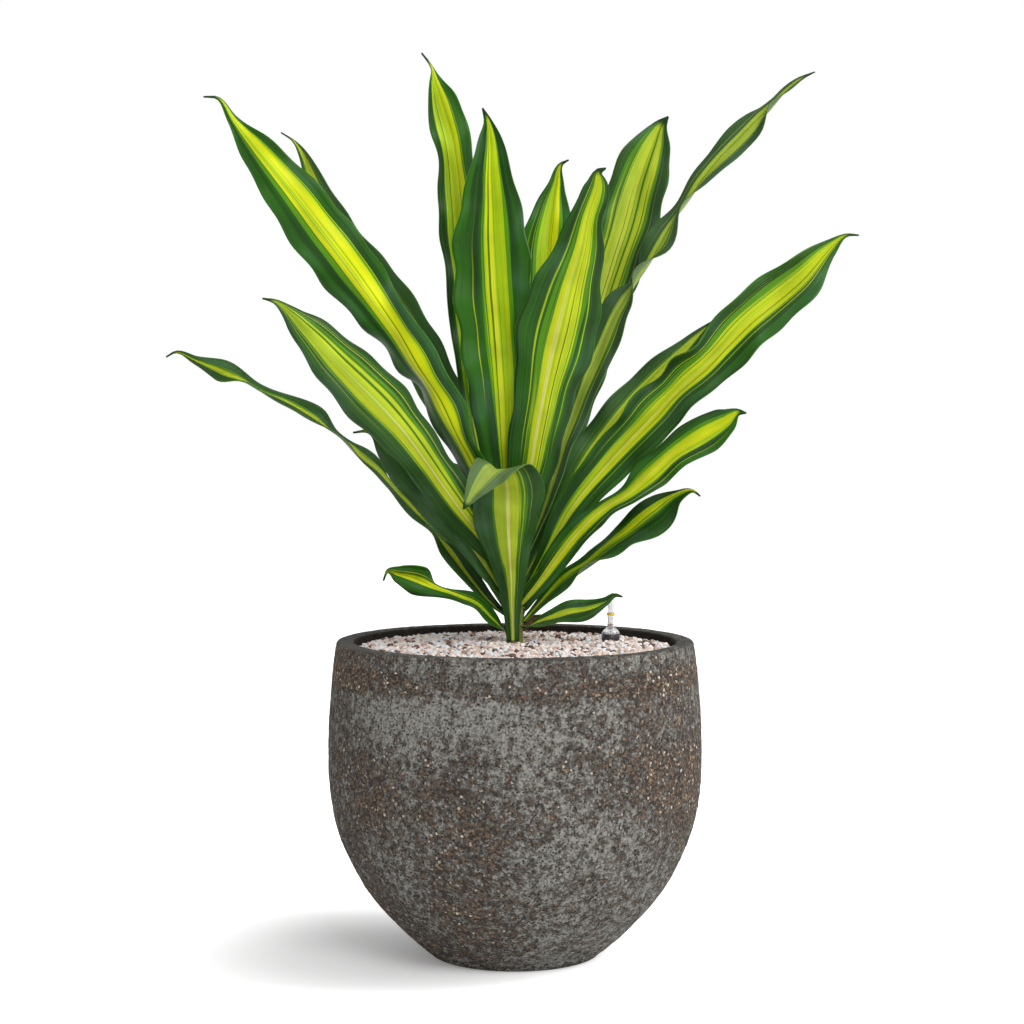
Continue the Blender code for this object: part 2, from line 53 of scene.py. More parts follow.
RIGHT = Vector((1.0, 0.0, 0.0))
FORWARD = Vector((0.0, -1.0, 0.0))
AIM = Vector((0.0, 0.0, 0.35))
WHITE = (1.0, 1.0, 1.0, 1.0)

Point = tuple[float, float, float]
Ring = tuple[float, float]
Span = tuple[float, float]
Socket = bpy.types.NodeSocket
Material = bpy.types.Material


class Cell(Enum):
    """What a cell pattern gives: the distance to a cell's middle, or a colour for each cell."""

    DISTANCE = "Distance"
    COLOUR = "Color"


@dataclass(frozen=True)
class Colour:
    """A display colour, given as it looks on screen from 0 to 255."""

    red: float
    green: float
    blue: float

    def linear(self) -> tuple[float, float, float, float]:
        """Return the colour as linear values for a shader."""
        values = []
        for channel in (self.red, self.green, self.blue):
            share = channel / 255.0
            values.append(share / 12.92 if share <= 0.04045 else ((share + 0.055) / 1.055) ** 2.4)
        return (values[0], values[1], values[2], 1.0)


@dataclass(frozen=True)
class LeafStyle:
    """How a blade is striped and ruffled.

    band is the light band's centre, from 0 at one margin to 1 at the other, and half is its half width.
    dull greys the colours, rib is how clearly the midrib shows, and ruffle scales the margins' waves.
    """

    band: float = 0.5
    half: float = 0.22
    dull: float = 0.0
    rib: float = 0.25
    ruffle: float = 1.0


@dataclass(frozen=True)
class Leaf:
    """A leaf as stations along its midrib, from the stem to the tip.

    A station is (x, y, z, roll, width): millimetres, with the roll in degrees about the midrib.
    The fold lifts both margins towards the blade's face, or away from it when negative.
    Rolls count from a blade that faces -Y, or from one that lies across X where across_x is set.
    """

    name: str
    fold: float
    stations: tuple[tuple[float, ...], ...]
    across_x: bool = False


LEAVES = (
    Leaf("leaf_front_folded", -15, across_x=True, stations=(
        (-2, 18.6, 314, 0, 13), (-3, 14, 344, 0, 18), (-4, 2, 383, 0, 34), (-6, -15, 418, 0, 58),
        (-7, -30, 446, 0, 72), (-8, -46, 473, 0, 70), (-13, -63, 490, 0, 56), (-24, -77, 490, 0, 40),
        (-38, -85, 473, 0, 22), (-50, -88, 453, 0, 1.5),
    )),
    Leaf("leaf_left_low", 14, (
        (-10, 27.3, 323, -100, 11), (-23, 21, 336, -45, 16), (-37, 11, 351, -50, 20),
        (-55, -4, 360, -52, 22), (-77, -14, 369, -66, 20), (-100, -24, 381, -10, 31),
        (-116, -31, 386, -10, 18), (-126, -36, 389, -30, 4), (-130, -38, 380, -30, 1.5),
    )),
    Leaf("leaf_right_low", 14, (
        (8.3, 24.4, 326, 120, 12), (30, 16, 335, 45, 20), (52, 10, 342, 42, 28), (75, 5, 348, 45, 28),
        (91, 2, 355, 40, 12), (101, 0, 362, 40, 4), (108, -1, 361, 40, 1.5),
    )),
    Leaf("leaf_right_second", 14, (
        (9.9, 33.1, 332, 72, 12), (29, 38, 352, 60, 18), (51, 38, 374, 48, 26), (76, 34, 392, 72, 28),
        (112, 24, 418, 50, 36), (143, 12, 443, 20, 37), (165, 4, 462, 45, 18), (178, -2, 467, 30, 4),
        (185, -4, 462, 30, 1.5),
    )),
    Leaf("leaf_left_twisted", 14, (
        (-9.7, 32.6, 338, -80, 12), (-27, 38, 354, -50, 15), (-50, 42, 383, -30, 22),
        (-66, 43, 406, -20, 26), (-83, 44, 424, -78, 24), (-105, 44, 451, -40, 26),
        (-128, 42, 473, -75, 24), (-153, 38, 499, -30, 22), (-186, 32, 528, -82, 20),
        (-212, 28, 547, -40, 22), (-261, 22, 570, -84, 18), (-295, 20, 588, -5, 22),
        (-321, 20, 598, -10, 9), (-341, 20, 606, -30, 3), (-351, 20, 601, -30, 1.5),
    )),
    Leaf("leaf_right_young", 14, (
        (3.9, 39.4, 343, 17, 10), (15, 49, 351, 40, 12), (26, 56, 365, 20, 18), (35, 61, 382, 0, 4),
    )),
    Leaf("leaf_right_third", -16, (
        (5.6, 21.3, 350, -29, 12), (22, 13, 371, 20, 20), (41, 2, 398, 0, 26), (63, -14, 427, 0, 26),
        (88, -34, 452, 20, 20), (111, -52, 467, 0, 22), (129, -68, 485, 0, 34), (153, -86, 508, 0, 33),
        (181, -100, 527, 0, 39), (201, -108, 539, 10, 26), (212, -112, 547, 30, 8),
        (220, -114, 546, 30, 1.5),
    )),
    Leaf("leaf_left_third", 16, (
        (-9.7, 27.1, 355, -100, 12), (-19, 22, 371, -40, 16), (-48, 8, 417, -10, 28), (-79, -6, 458, 0, 42),
        (-106, -16, 493, 0, 46), (-129, -24, 516, -10, 26), (-145, -28, 527, -30, 5),
        (-160, -30, 526, -30, 1.5),
    )),
    Leaf("leaf_right_long", 16, (
        (10, 28.1, 367, 95, 12), (31, 21, 400, 55, 24), (57, 14, 449, 20, 34), (93, 2, 494, 25, 44),
        (128, -12, 532, 25, 50), (160, -24, 565, 48, 54), (191, -34, 596, 5, 50), (225, -42, 632, 0, 54),
        (278, -50, 677, 0, 46), (306, -54, 706, 20, 18), (322, -56, 718, 40, 4), (334, -57, 718, 40, 1.5),
    )),
    Leaf("leaf_right_back", 16, (
        (8.4, 35.5, 373, 59, 12), (25, 48, 405, 50, 22), (44, 52, 440, 20, 34), (67, 58, 481, 10, 40),
        (88, 60, 511, 5, 48), (115, 62, 548, 0, 42), (149, 64, 586, 0, 34), (179, 64, 616, 10, 16),
        (202, 64, 638, 30, 1.5),
    )),
    Leaf("leaf_left_broad", -16, (
        (-5.7, 21.7, 376, 37, 12), (-15, 12, 397, -10, 22), (-37, -4, 426, 0, 34), (-56, -18, 451, 0, 42),
        (-87, -42, 497, 0, 46), (-109, -60, 528, 0, 53), (-129, -74, 551, 0, 61), (-170, -100, 594, 0, 50),
        (-195, -118, 622, 0, 34), (-214, -128, 642, -10, 14), (-226, -131, 651, -20, 5),
        (-238, -133, 654, -40, 1.5),
    )),
    Leaf("leaf_left_long", -16, (
        (-9.9, 28, 388, 80, 12), (-15, 20, 417, 60, 20), (-32, 4, 464, 40, 30), (-60, -18, 522, 45, 42),
        (-93, -40, 584, 38, 54), (-133, -58, 646, 0, 50), (-160, -70, 684, 0, 60), (-184, -80, 716, 0, 60),
        (-214, -90, 756, 0, 52), (-245, -97, 795, 0, 34), (-269, -101, 826, -20, 12),
        (-282, -103, 845, -40, 4), (-296, -104, 846, -40, 1.5),
    )),
    Leaf("leaf_right_twisted", 16, (
        (9.4, 33.8, 393, 65, 11), (33, 43, 456, 50, 26), (51, 68, 517, 30, 30), (71, 78, 570, 20, 34),
        (91, 86, 616, 10, 36), (107, 90, 651, 20, 34), (129, 92, 684, 74, 28), (150, 94, 719, 30, 28),
        (174, 96, 760, 74, 24), (204, 97, 799, 30, 26), (239, 98, 835, 10, 29), (268, 99, 864, 60, 18),
        (294, 99, 888, 60, 8), (310, 99, 896, 60, 1.5),
    )),
    Leaf("leaf_back_short", 16, (
        (-6, 37.3, 399, 138, 12), (-11, 58, 435, 170, 26), (-31, 90, 485, 180, 38),
        (-55, 112, 526, 180, 40), (-79, 128, 563, 180, 38), (-95, 140, 602, 180, 1.5),
    )),
    Leaf("leaf_back_left", 16, (
        (-3.7, 38.6, 405, 155, 12), (-11, 49, 435, 122, 16), (-28, 60, 476, 60, 30), (-55, 76, 527, 20, 40),
        (-82, 88, 578, 0, 46), (-107, 94, 620, 0, 52), (-136, 98, 663, 0, 54), (-163, 100, 703, 0, 46),
        (-187, 100, 744, 0, 34), (-206, 100, 781, 0, 22), (-219, 100, 811, -10, 10),
        (-230, 100, 826, -40, 3), (-242, 100, 834, -40, 1.5),
    )),
    Leaf("leaf_back_right", 14, (
        (1.5, 39.3, 410, 12, 11), (15, 67, 440, 20, 20), (49, 104, 516, 0, 36), (79, 130, 610, 0, 50),
        (98, 146, 674, 0, 58), (119, 156, 739, 0, 67), (133, 162, 791, 0, 62), (146, 165, 828, 0, 42),
        (155, 166, 848, 10, 16), (163, 166, 858, 30, 1.5),
    )),
    Leaf("leaf_front_right", -16, (
        (1, 20, 417, 0, 13), (6, 10, 445, 0, 26), (15, -6, 488, 0, 50), (21, -18, 525, 0, 58),
        (28, -28, 563, 0, 62), (35, -38, 600, 0, 78), (42, -46, 629, 0, 82), (51, -56, 665, 0, 70),
        (63, -67, 706, 0, 48), (69, -75, 735, 0, 34), (78, -83, 763, 0, 24), (80, -86, 777, 20, 8),
        (87, -88, 780, 40, 1.5),
    )),
    Leaf("leaf_tall_left", 16, (
        (-9.3, 32.8, 424, -76, 12), (-15, 37, 446, -85, 15), (-32, 48, 497, -50, 30),
        (-41, 52, 558, -10, 28), (-46, 54, 622, 0, 42), (-50, 56, 704, 0, 52), (-55, 57, 761, 0, 48),
        (-62, 58, 817, 0, 38), (-72, 59, 854, 0, 36), (-81, 60, 881, -20, 16), (-86, 60, 897, -60, 6),
        (-95, 60, 910, -40, 1.5),
    )),
    Leaf("leaf_back_centre", 14, (
        (2.1, 39.2, 430, 14, 12), (5, 50, 456, 0, 24), (16, 70, 517, 0, 36), (24, 88, 599, 0, 52),
        (31, 100, 672, 0, 58), (34, 106, 724, 0, 54), (38, 110, 753, 0, 40), (43, 112, 781, 0, 18),
        (48, 112, 802, 30, 5), (56, 112, 807, 30, 1.5),
    )),
    Leaf("leaf_centre_tall", 14, (
        (-5.6, 22.8, 437, 41, 12), (-9, 18, 467, -10, 30), (-11, 12, 506, 0, 48), (-13, 4, 558, 0, 66),
        (-17, -4, 618, 0, 76), (-21, -10, 677, 0, 80), (-23, -14, 716, 0, 76), (-24, -18, 755, 0, 58),
        (-25, -23, 789, 0, 40), (-25, -27, 817, 0, 22), (-27, -29, 832, 0, 8), (-32, -30, 844, 30, 1.5),
    )),
    Leaf("leaf_dried", 10, (
        (9, 34.6, 330, 60, 8), (17, 36, 334, 40, 8), (29, 37, 336, 30, 7), (38, 38, 337, 30, 3),
    )),
    Leaf("leaf_back_low", 16, across_x=True, stations=(
        (0.1, 40.3, 324, 0, 12), (0, 52, 336, 0, 20), (-2, 78, 351, 0, 32), (-4, 112, 364, 0, 40),
        (-5, 150, 372, 0, 34), (-5, 176, 373, 0, 14), (-6, 188, 368, 0, 1.5),
    )),
    Leaf("leaf_back_spread_left", 16, across_x=True, stations=(
        (-6.7, 38, 342, -30, 12), (-12, 50, 357, -20, 22), (-24, 74, 386, -10, 38), (-39, 110, 422, 0, 48),
        (-52, 140, 454, 0, 46), (-63, 164, 478, 0, 26), (-70, 176, 491, 0, 1.5),
    )),
    Leaf("leaf_back_spread_right", 16, across_x=True, stations=(
        (6.6, 37.8, 358, 30, 12), (13, 50, 374, 20, 22), (29, 78, 407, 10, 40), (45, 112, 442, 0, 50),
        (62, 142, 475, 0, 46), (75, 166, 498, 0, 24), (83, 178, 508, 0, 1.5),
    )),
    Leaf("leaf_back_arching", 16, across_x=True, stations=(
        (0.1, 39.9, 383, 0, 12), (0, 56, 406, 0, 24), (0, 86, 454, 0, 42), (-1, 118, 516, 0, 58),
        (-3, 146, 579, 0, 62), (-5, 168, 643, 0, 50), (-6, 184, 697, 0, 26), (-7, 194, 729, 0, 1.5),
    )),
)

STYLES = {
    "leaf_front_folded": LeafStyle(0.50, 0.23, 0.60, 1.00, 0.7),
    "leaf_left_low": LeafStyle(0.52, 0.13, 0.10, 0.10, 0.8),
    "leaf_right_low": LeafStyle(0.40, 0.10, 0.45, 0.10, 1.0),
    "leaf_right_second": LeafStyle(0.34, 0.14, 0.05, 0.20, 0.9),
    "leaf_left_twisted": LeafStyle(0.46, 0.16, 0.45, 0.20, 0.9),
    "leaf_right_young": LeafStyle(0.50, 0.20, 0.60, 0.40, 0.5),
    "leaf_right_third": LeafStyle(0.52, 0.24, 0.10, 0.60, 1.0),
    "leaf_left_third": LeafStyle(0.56, 0.15, 0.60, 0.50, 1.2),
    "leaf_right_long": LeafStyle(0.47, 0.22, 0.20, 0.35, 1.2),
    "leaf_right_back": LeafStyle(0.52, 0.20, 0.60, 0.40, 1.2),
    "leaf_left_broad": LeafStyle(0.54, 0.24, 0.40, 0.60, 1.0),
    "leaf_left_long": LeafStyle(0.57, 0.22, 0.00, 0.20, 1.0),
    "leaf_right_twisted": LeafStyle(0.55, 0.20, 0.90, 0.30, 1.0),
    "leaf_back_short": LeafStyle(0.50, 0.14, 0.60, 0.20, 1.0),
    "leaf_back_left": LeafStyle(0.45, 0.24, 0.60, 0.20, 1.0),
    "leaf_back_right": LeafStyle(0.47, 0.27, 0.50, 0.10, 1.0),
    "leaf_front_right": LeafStyle(0.55, 0.21, 0.25, 0.75, 1.1),
    "leaf_tall_left": LeafStyle(0.45, 0.25, 0.10, 0.10, 1.0),
    "leaf_back_centre": LeafStyle(0.50, 0.24, 0.00, 0.10, 1.0),
    "leaf_centre_tall": LeafStyle(0.54, 0.20, 0.00, 0.15, 0.8),
}


class Sketch:
    """A short hand for building a node material."""

    def __init__(self, name: str, roughness: float) -> None:
        """Start a material.

        Args:
            name: the material's name.
            roughness: the shader's uniform roughness.
        """
        self.material = bpy.data.materials.new(name)
        self.material.use_nodes = True
        self.tree = self.material.node_tree
        self.shader = self.tree.nodes["Principled BSDF"]
        self.shader.inputs["Roughness"].default_value = roughness

    def node(self, kind: str, **settings: object) -> bpy.types.Node:
        """Add a node and set its properties.

        Args:
            kind: the node's type name.
            settings: property names and values.

        Returns:
            The new node.
        """
        made = self.tree.nodes.new(kind)
        for key, value in settings.items():
            setattr(made, key, value)
        return made

    def feed(self, socket: Socket, value: object) -> None:
        """Link a socket, or set its value when a plain number or colour is given.

        Args:
            socket: the input socket.
            value: an output socket, number, tuple or Colour.
        """
        if isinstance(value, Socket):
            self.tree.links.new(value, socket)
        elif isinstance(value, Colour):
            socket.default_value = value.linear()
        else:
            socket.default_value = value

    def place(self, scale: Point = (1.0, 1.0, 1.0)) -> Socket:
        """Return scaled object coordinates.

        Args:
            scale: factors along each axis.

        Returns:
            The coordinate socket.
        """
        coordinates = self.node("ShaderNodeTexCoord").outputs["Object"]
        mapping = self.node("ShaderNodeMapping")
        self.feed(mapping.inputs["Vector"], coordinates)
        mapping.inputs["Scale"].default_value = scale
        return mapping.outputs["Vector"]

    def math(self, action: str, first: object, second: object = 0.0) -> Socket:
        """Return the result of a math node.

        Args:
            action: the operation's name.
            first: the first value or socket.
            second: the second value or socket.

        Returns:
            The value socket.
        """
        made = self.node("ShaderNodeMath", operation=action)
        self.feed(made.inputs[0], first)
        self.feed(made.inputs[1], second)
        return made.outputs[0]

    def attribute(self, name: str) -> Socket:
        """Return a value stored on the mesh."""
        return self.node("ShaderNodeAttribute", attribute_name=name).outputs["Fac"]

    def noise(self, where: Socket, scale: float, detail: float = 3.0, rough: float = 0.55) -> Socket:
        """Return a noise value.

        Args:
            where: coordinate socket.
            scale: pattern scale.
            detail: octaves.
            rough: share of the fine octaves.

        Returns:
            The value socket.
        """
        made = self.node("ShaderNodeTexNoise")
        self.feed(made.inputs["Vector"], where)
        made.inputs["Scale"].default_value = scale
        made.inputs["Detail"].default_value = detail
        made.inputs["Roughness"].default_value = rough
        return made.outputs["Fac"]

    def cells(self, where: Socket, scale: float, output: Cell) -> Socket:
        """Return a cell pattern.

        Args:
            where: coordinate socket.
            scale: pattern scale.
            output: what the pattern gives.

        Returns:
            The chosen socket.
        """
        made = self.node("ShaderNodeTexVoronoi")
        self.feed(made.inputs["Vector"], where)
        made.inputs["Scale"].default_value = scale
        return made.outputs[output.value]

    def step(self, value: Socket, low: float, high: float) -> Socket:
        """Return a smooth rise from 0 at low to 1 at high, which may run downwards.

        Args:
            value: the value socket.
            low: where the result is 0.
            high: where the result is 1.

        Returns:
            The value socket.
        """
        made = self.node("ShaderNodeMapRange", interpolation_type="SMOOTHSTEP")
        self.feed(made.inputs["Value"], value)
        if low < high:
            made.inputs["From Min"].default_value = low
            made.inputs["From Max"].default_value = high
            return made.outputs["Result"]
        made.inputs["From Min"].default_value = high
        made.inputs["From Max"].default_value = low
        made.inputs["To Min"].default_value = 1.0
        made.inputs["To Max"].default_value = 0.0
        return made.outputs["Result"]

    def mix(self, share: object, first: object, second: object) -> Socket:
        """Return a blend of two colours.

        Args:
            share: how much of the second colour.
            first: the colour at 0.
            second: the colour at 1.

        Returns:
            The colour socket.
        """
        made = self.node("ShaderNodeMix", data_type="RGBA", clamp_factor=True)
        self.feed(made.inputs[0], share)
        self.feed(made.inputs[6], first)
        self.feed(made.inputs[7], second)
        return made.outputs[2]

    def colour(self, value: object) -> None:
        """Set the base colour."""
        self.feed(self.shader.inputs["Base Color"], value)

    def bump(self, height: Socket, strength: float, distance: float) -> None:
        """Feed a height into the shader's normal.

        Args:
            height: the height socket.
            strength: how much it shows.
            distance: the height's size in metres.
        """
        made = self.node("ShaderNodeBump")
        made.inputs["Strength"].default_value = strength
        made.inputs["Distance"].default_value = distance
        self.feed(made.inputs["Height"], height)
        self.feed(self.shader.inputs["Normal"], made.outputs["Normal"])


@dataclass(frozen=True)
class Streak:
    """Noise drawn out along a blade.

    across and along are how fast it changes in each direction, and shift is its place in the noise.
    It shows from low, fully from high, and then by share.
    """

    across: float
    along: float
    shift: float
    low: float = 0.0
    high: float = 1.0
    share: float = 1.0


@dataclass(frozen=True)
class BladeFinish:
    """Lime centre band, green stripes and dark margins along a living leaf, paler and duller underneath."""

    lime: Colour = Colour(214, 222, 6)
    fresh: Colour = Colour(166, 200, 14)
    middle: Colour = Colour(88, 146, 12)
    line: Colour = Colour(52, 106, 12)
    green: Colour = Colour(40, 98, 4)
    deep: Colour = Colour(16, 56, 0)
    rib: Colour = Colour(226, 220, 140)
    dull_lime: Colour = Colour(158, 180, 62)
    dull_green: Colour = Colour(58, 86, 50)
    under: Colour = Colour(120, 142, 92)
    # painted sheen: a teal-grey colour that stands for the sky's reflection on the dark margins
    painted_sheen: Colour = Colour(84, 122, 96)
    shade: Colour = Colour(10, 30, 2)
    roughness: float = 0.40
    sheen: float = 0.16
    wobble: Streak = Streak(2.0, 2.5, 4.0, share=0.09)
    broken: Streak = Streak(13.0, 0.9, 1.0, share=1.0)
    ragged: Streak = Streak(36.0, 0.6, 12.0, share=0.35)
    fresh_streak: Streak = Streak(11.0, 0.9, 2.0, 0.42, 0.60)
    green_streak: Streak = Streak(6.0, 1.5, 7.0, 0.38, 0.62)
    # where the painted sheen shows, in broad patches along the margins
    painted_sheen_patch: Streak = Streak(1.6, 5.0, 15.0, 0.50, 0.68, 0.26)
    dark_line: Streak = Streak(30.0, 0.4, 6.0, 0.615, 0.645, 0.9)
    light_line: Streak = Streak(32.0, 0.4, 9.0, 0.62, 0.65, 0.85)
    vein: Streak = Streak(90.0, 1.2, 21.0, 0.40, 0.62, 0.13)
    hollow: Streak = Streak(2.2, 9.0, 27.0, 0.44, 0.66, 0.14)
    relief: Streak = Streak(70.0, 1.0, 5.0)
    relief_strength: float = 0.6
    relief_depth: float = 0.0007
    foot_band: float = 0.62
    foot_end: Span = (0.05, 0.45)
    band_edge: Span = (0.80, 0.88)
    margin_edge: Span = (1.04, 1.12)
    light_line_edge: Span = (1.75, 1.35)
    dull_middle: float = 0.6
    rib_edge: Span = (0.030, 0.012)
    rib_end: Span = (0.90, 0.35)
    rim_edge: Span = (0.488, 0.496)
    rim_share: float = 0.45
    under_share: float = 0.45
    tip: Span = (0.965, 0.985)

    def material(self) -> Material:
        """Return the leaf material, which reads the blade's UV map and its own attributes."""
        s = Sketch("leaf_blade", self.roughness)
        s.shader.inputs["Specular IOR Level"].default_value = self.sheen
        split = s.node("ShaderNodeSeparateXYZ")
        s.feed(split.inputs[0], s.node("ShaderNodeUVMap", uv_map="blade").outputs["UV"])
        across, along = split.outputs[0], split.outputs[1]
        seed = s.attribute("leaf_seed")
        dull = s.attribute("dullness")

        def streaks(streak: Streak) -> Socket:
            """Return a streak's noise, about 0.5 on average."""
            where = s.node("ShaderNodeCombineXYZ")
            s.feed(where.inputs[0], s.math("MULTIPLY", across, streak.across))
            s.feed(where.inputs[1], s.math("MULTIPLY", along, streak.along))
            s.feed(where.inputs[2], s.math("ADD", seed, streak.shift))
            return s.noise(where.outputs[0], 1.0, 2.0, 0.5)

        def swing(streak: Streak) -> Socket:
            """Return the noise's swing about 0.5, times its share."""
            return s.math("MULTIPLY", s.math("SUBTRACT", streaks(streak), 0.5), streak.share)

        def shown(streak: Streak) -> Socket:
            """Return how much a streak shows."""
            return s.math("MULTIPLY", s.step(streaks(streak), streak.low, streak.high), streak.share)

        centre = s.math("SUBTRACT", across, s.attribute("band_centre"))
        offset = s.math("ABSOLUTE", s.math("ADD", centre, swing(self.wobble)))
        widened = s.math("MULTIPLY", s.step(along, *self.foot_end), 1.0 - self.foot_band)
        half = s.math("MULTIPLY", s.attribute("band_half"), s.math("ADD", self.foot_band, widened))
        reach = s.math("DIVIDE", offset, half)
        edge = s.math("ADD", s.math("ADD", reach, swing(self.broken)), swing(self.ragged))
        light = s.mix(dull, s.mix(shown(self.fresh_streak), self.lime, self.fresh), self.dull_lime)
        margin = s.mix(dull, s.mix(shown(self.green_streak), self.deep, self.green), self.dull_green)
        # painted sheen: the margins are mixed towards teal-grey in patches, standing for reflections
        margin = s.mix(shown(self.painted_sheen_patch), margin, self.painted_sheen)
        between = s.mix(s.math("MULTIPLY", dull, self.dull_middle), self.middle, self.dull_green)
        colour = s.mix(s.step(edge, *self.band_edge), light, between)
        colour = s.mix(s.step(edge, *self.margin_edge), colour, margin)
        colour = s.mix(shown(self.dark_line), colour, self.line)
        bright = s.math("MULTIPLY", shown(self.light_line), s.step(reach, *self.light_line_edge))
        colour = s.mix(bright, colour, light)
        from_rib = s.math("ABSOLUTE", s.math("SUBTRACT", across, 0.5))
        rib = s.math("MULTIPLY", s.step(from_rib, *self.rib_edge), s.step(along, *self.rib_end))
        colour = s.mix(s.math("MULTIPLY", rib, s.attribute("rib_strength")), colour, self.rib)
        rim = s.math("MULTIPLY", s.step(from_rib, *self.rim_edge), self.rim_share)
        colour = s.mix(rim, colour, self.middle)
        colour = s.mix(s.math("MULTIPLY", s.attribute("under"), self.under_share), colour, self.under)
        colour = s.mix(shown(self.vein), colour, self.shade)
        colour = s.mix(shown(self.hollow), colour, self.shade)
        s.colour(s.mix(s.step(along, *self.tip), colour, self.deep))
        s.bump(streaks(self.relief), self.relief_strength, self.relief_depth)
        return s.material


@dataclass(frozen=True)
class CementFinish:
    """Broken grey cement skin over brown and dark sand, plain on the rim, with painted shade on the wall
    inside the rim.

    A span gives where a step starts and where it is full; heights and radii are metres.
    """

    skin: Colour = Colour(152, 150, 144)
    worn: Colour = Colour(104, 101, 96)
    dark: Colour = Colour(62, 55, 50)
    brown: Colour = Colour(116, 97, 81)
    tan: Colour = Colour(150, 127, 104)
    grain: Colour = Colour(208, 199, 184)
    rim: Colour = Colour(112, 110, 105)
    rim_dark: Colour = Colour(84, 81, 77)
    # painted shade: the dark colour of the wall inside the rim, standing for the shade there
    inside: Colour = Colour(58, 50, 45)
    roughness: float = 0.93
    sheen: float = 0.2
    zone_scale: float = 7.0
    zone_share: float = 0.34
    flake_scale: float = 130.0
    fine_scale: float = 420.0
    cell_scale: float = 380.0
    grey_foot: Span = (0.21, 0.24)
    grey_head: Span = (0.285, 0.270)
    grey_share: float = 0.03
    brown_foot: Span = (0.272, 0.284)
    brown_head: Span = (0.305, 0.295)
    brown_share: float = 0.06
    skin_edge: Span = (0.44, 0.56)
    brown_cells: Span = (0.30, 0.34)
    tan_cells: Span = (0.80, 0.83)
    grain_cells: Span = (0.93, 0.95)
    cell_gaps: Span = (0.45, 0.80)
    cement_edge: Span = (0.35, 0.62)
    pit_cells: Span = (0.86, 0.89)
    pit_edge: Span = (0.46, 0.28)
    rim_edge: Span = (0.42, 0.58)
    rim_height: Span = (0.3150, 0.3175)
    # where the painted shade inside the rim reaches, by radius and height
    inner_shade_radius: Span = (0.1665, 0.1625)
    inner_shade_head: Span = (0.3176, 0.3160)
    inner_shade_foot: Span = (0.200, 0.210)
    skin_relief: float = 0.6
    fine_relief: float = 0.5
    cell_relief: float = 0.5
    relief_depth: float = 0.0022

    def material(self) -> Material:
        """Return the cement material."""
        s = Sketch("planter_cement", self.roughness)
        s.shader.inputs["Specular IOR Level"].default_value = self.sheen
        where = s.place()
        position = s.node("ShaderNodeSeparateXYZ")
        s.feed(position.inputs[0], where)
        x, y, height = position.outputs
        zone = s.noise(where, self.zone_scale, 3.0, 0.5)
        flake = s.noise(where, self.flake_scale, 9.0, 0.82)
        fine = s.noise(where, self.fine_scale, 3.0, 0.6)
        cells = s.cells(where, self.cell_scale, Cell.DISTANCE)
        split = s.node("ShaderNodeSeparateColor")
        s.feed(split.inputs[0], s.cells(where, self.cell_scale, Cell.COLOUR))
        lot, other_lot = split.outputs[0], split.outputs[2]
        grey = s.math("MULTIPLY", s.step(height, *self.grey_foot), s.step(height, *self.grey_head))
        brown = s.math("MULTIPLY", s.step(height, *self.brown_foot), s.step(height, *self.brown_head))
        cover = s.math("ADD", flake, s.math("MULTIPLY", s.math("SUBTRACT", zone, 0.5), self.zone_share))
        cover = s.math("ADD", cover, s.math("MULTIPLY", grey, self.grey_share))
        cover = s.math("SUBTRACT", cover, s.math("MULTIPLY", brown, self.brown_share))
        skin = s.step(cover, *self.skin_edge)
        sand = s.mix(s.step(lot, *self.brown_cells), self.dark, self.brown)
        sand = s.mix(s.step(lot, *self.tan_cells), sand, self.tan)
        sand = s.mix(s.step(lot, *self.grain_cells), sand, self.grain)
        sand = s.mix(s.step(cells, *self.cell_gaps), sand, self.dark)
        cement = s.mix(s.step(fine, *self.cement_edge), self.worn, self.skin)
        pits = s.math("MULTIPLY", s.step(other_lot, *self.pit_cells), s.step(cells, *self.pit_edge))
        colour = s.mix(pits, s.mix(skin, sand, cement), self.dark)
        plain = s.mix(s.step(flake, *self.rim_edge), self.rim_dark, self.rim)
        colour = s.mix(s.step(height, *self.rim_height), colour, plain)
        flat = s.node("ShaderNodeCombineXYZ")
        s.feed(flat.inputs[0], x)
        s.feed(flat.inputs[1], y)
        radius = s.node("ShaderNodeVectorMath", operation="LENGTH")
        s.feed(radius.inputs[0], flat.outputs[0])
        # painted shade: the wall inside the rim, up to the rim's top, is mixed to dark colours
        painted_inner_shade = s.math("MULTIPLY", s.step(height, *self.inner_shade_head), s.step(height, *self.inner_shade_foot))
        painted_inner_shade = s.math("MULTIPLY", s.step(radius.outputs["Value"], *self.inner_shade_radius), painted_inner_shade)
        s.colour(s.mix(painted_inner_shade, colour, s.mix(skin, self.dark, self.inside)))
        relief = s.math("MULTIPLY", skin, self.skin_relief)
        relief = s.math("ADD", relief, s.math("MULTIPLY", fine, self.fine_relief))
        relief = s.math("SUBTRACT", relief, pits)
        relief = s.math("SUBTRACT", relief, s.math("MULTIPLY", cells, self.cell_relief))
        s.bump(relief, 1.0, self.relief_depth)
        return s.material


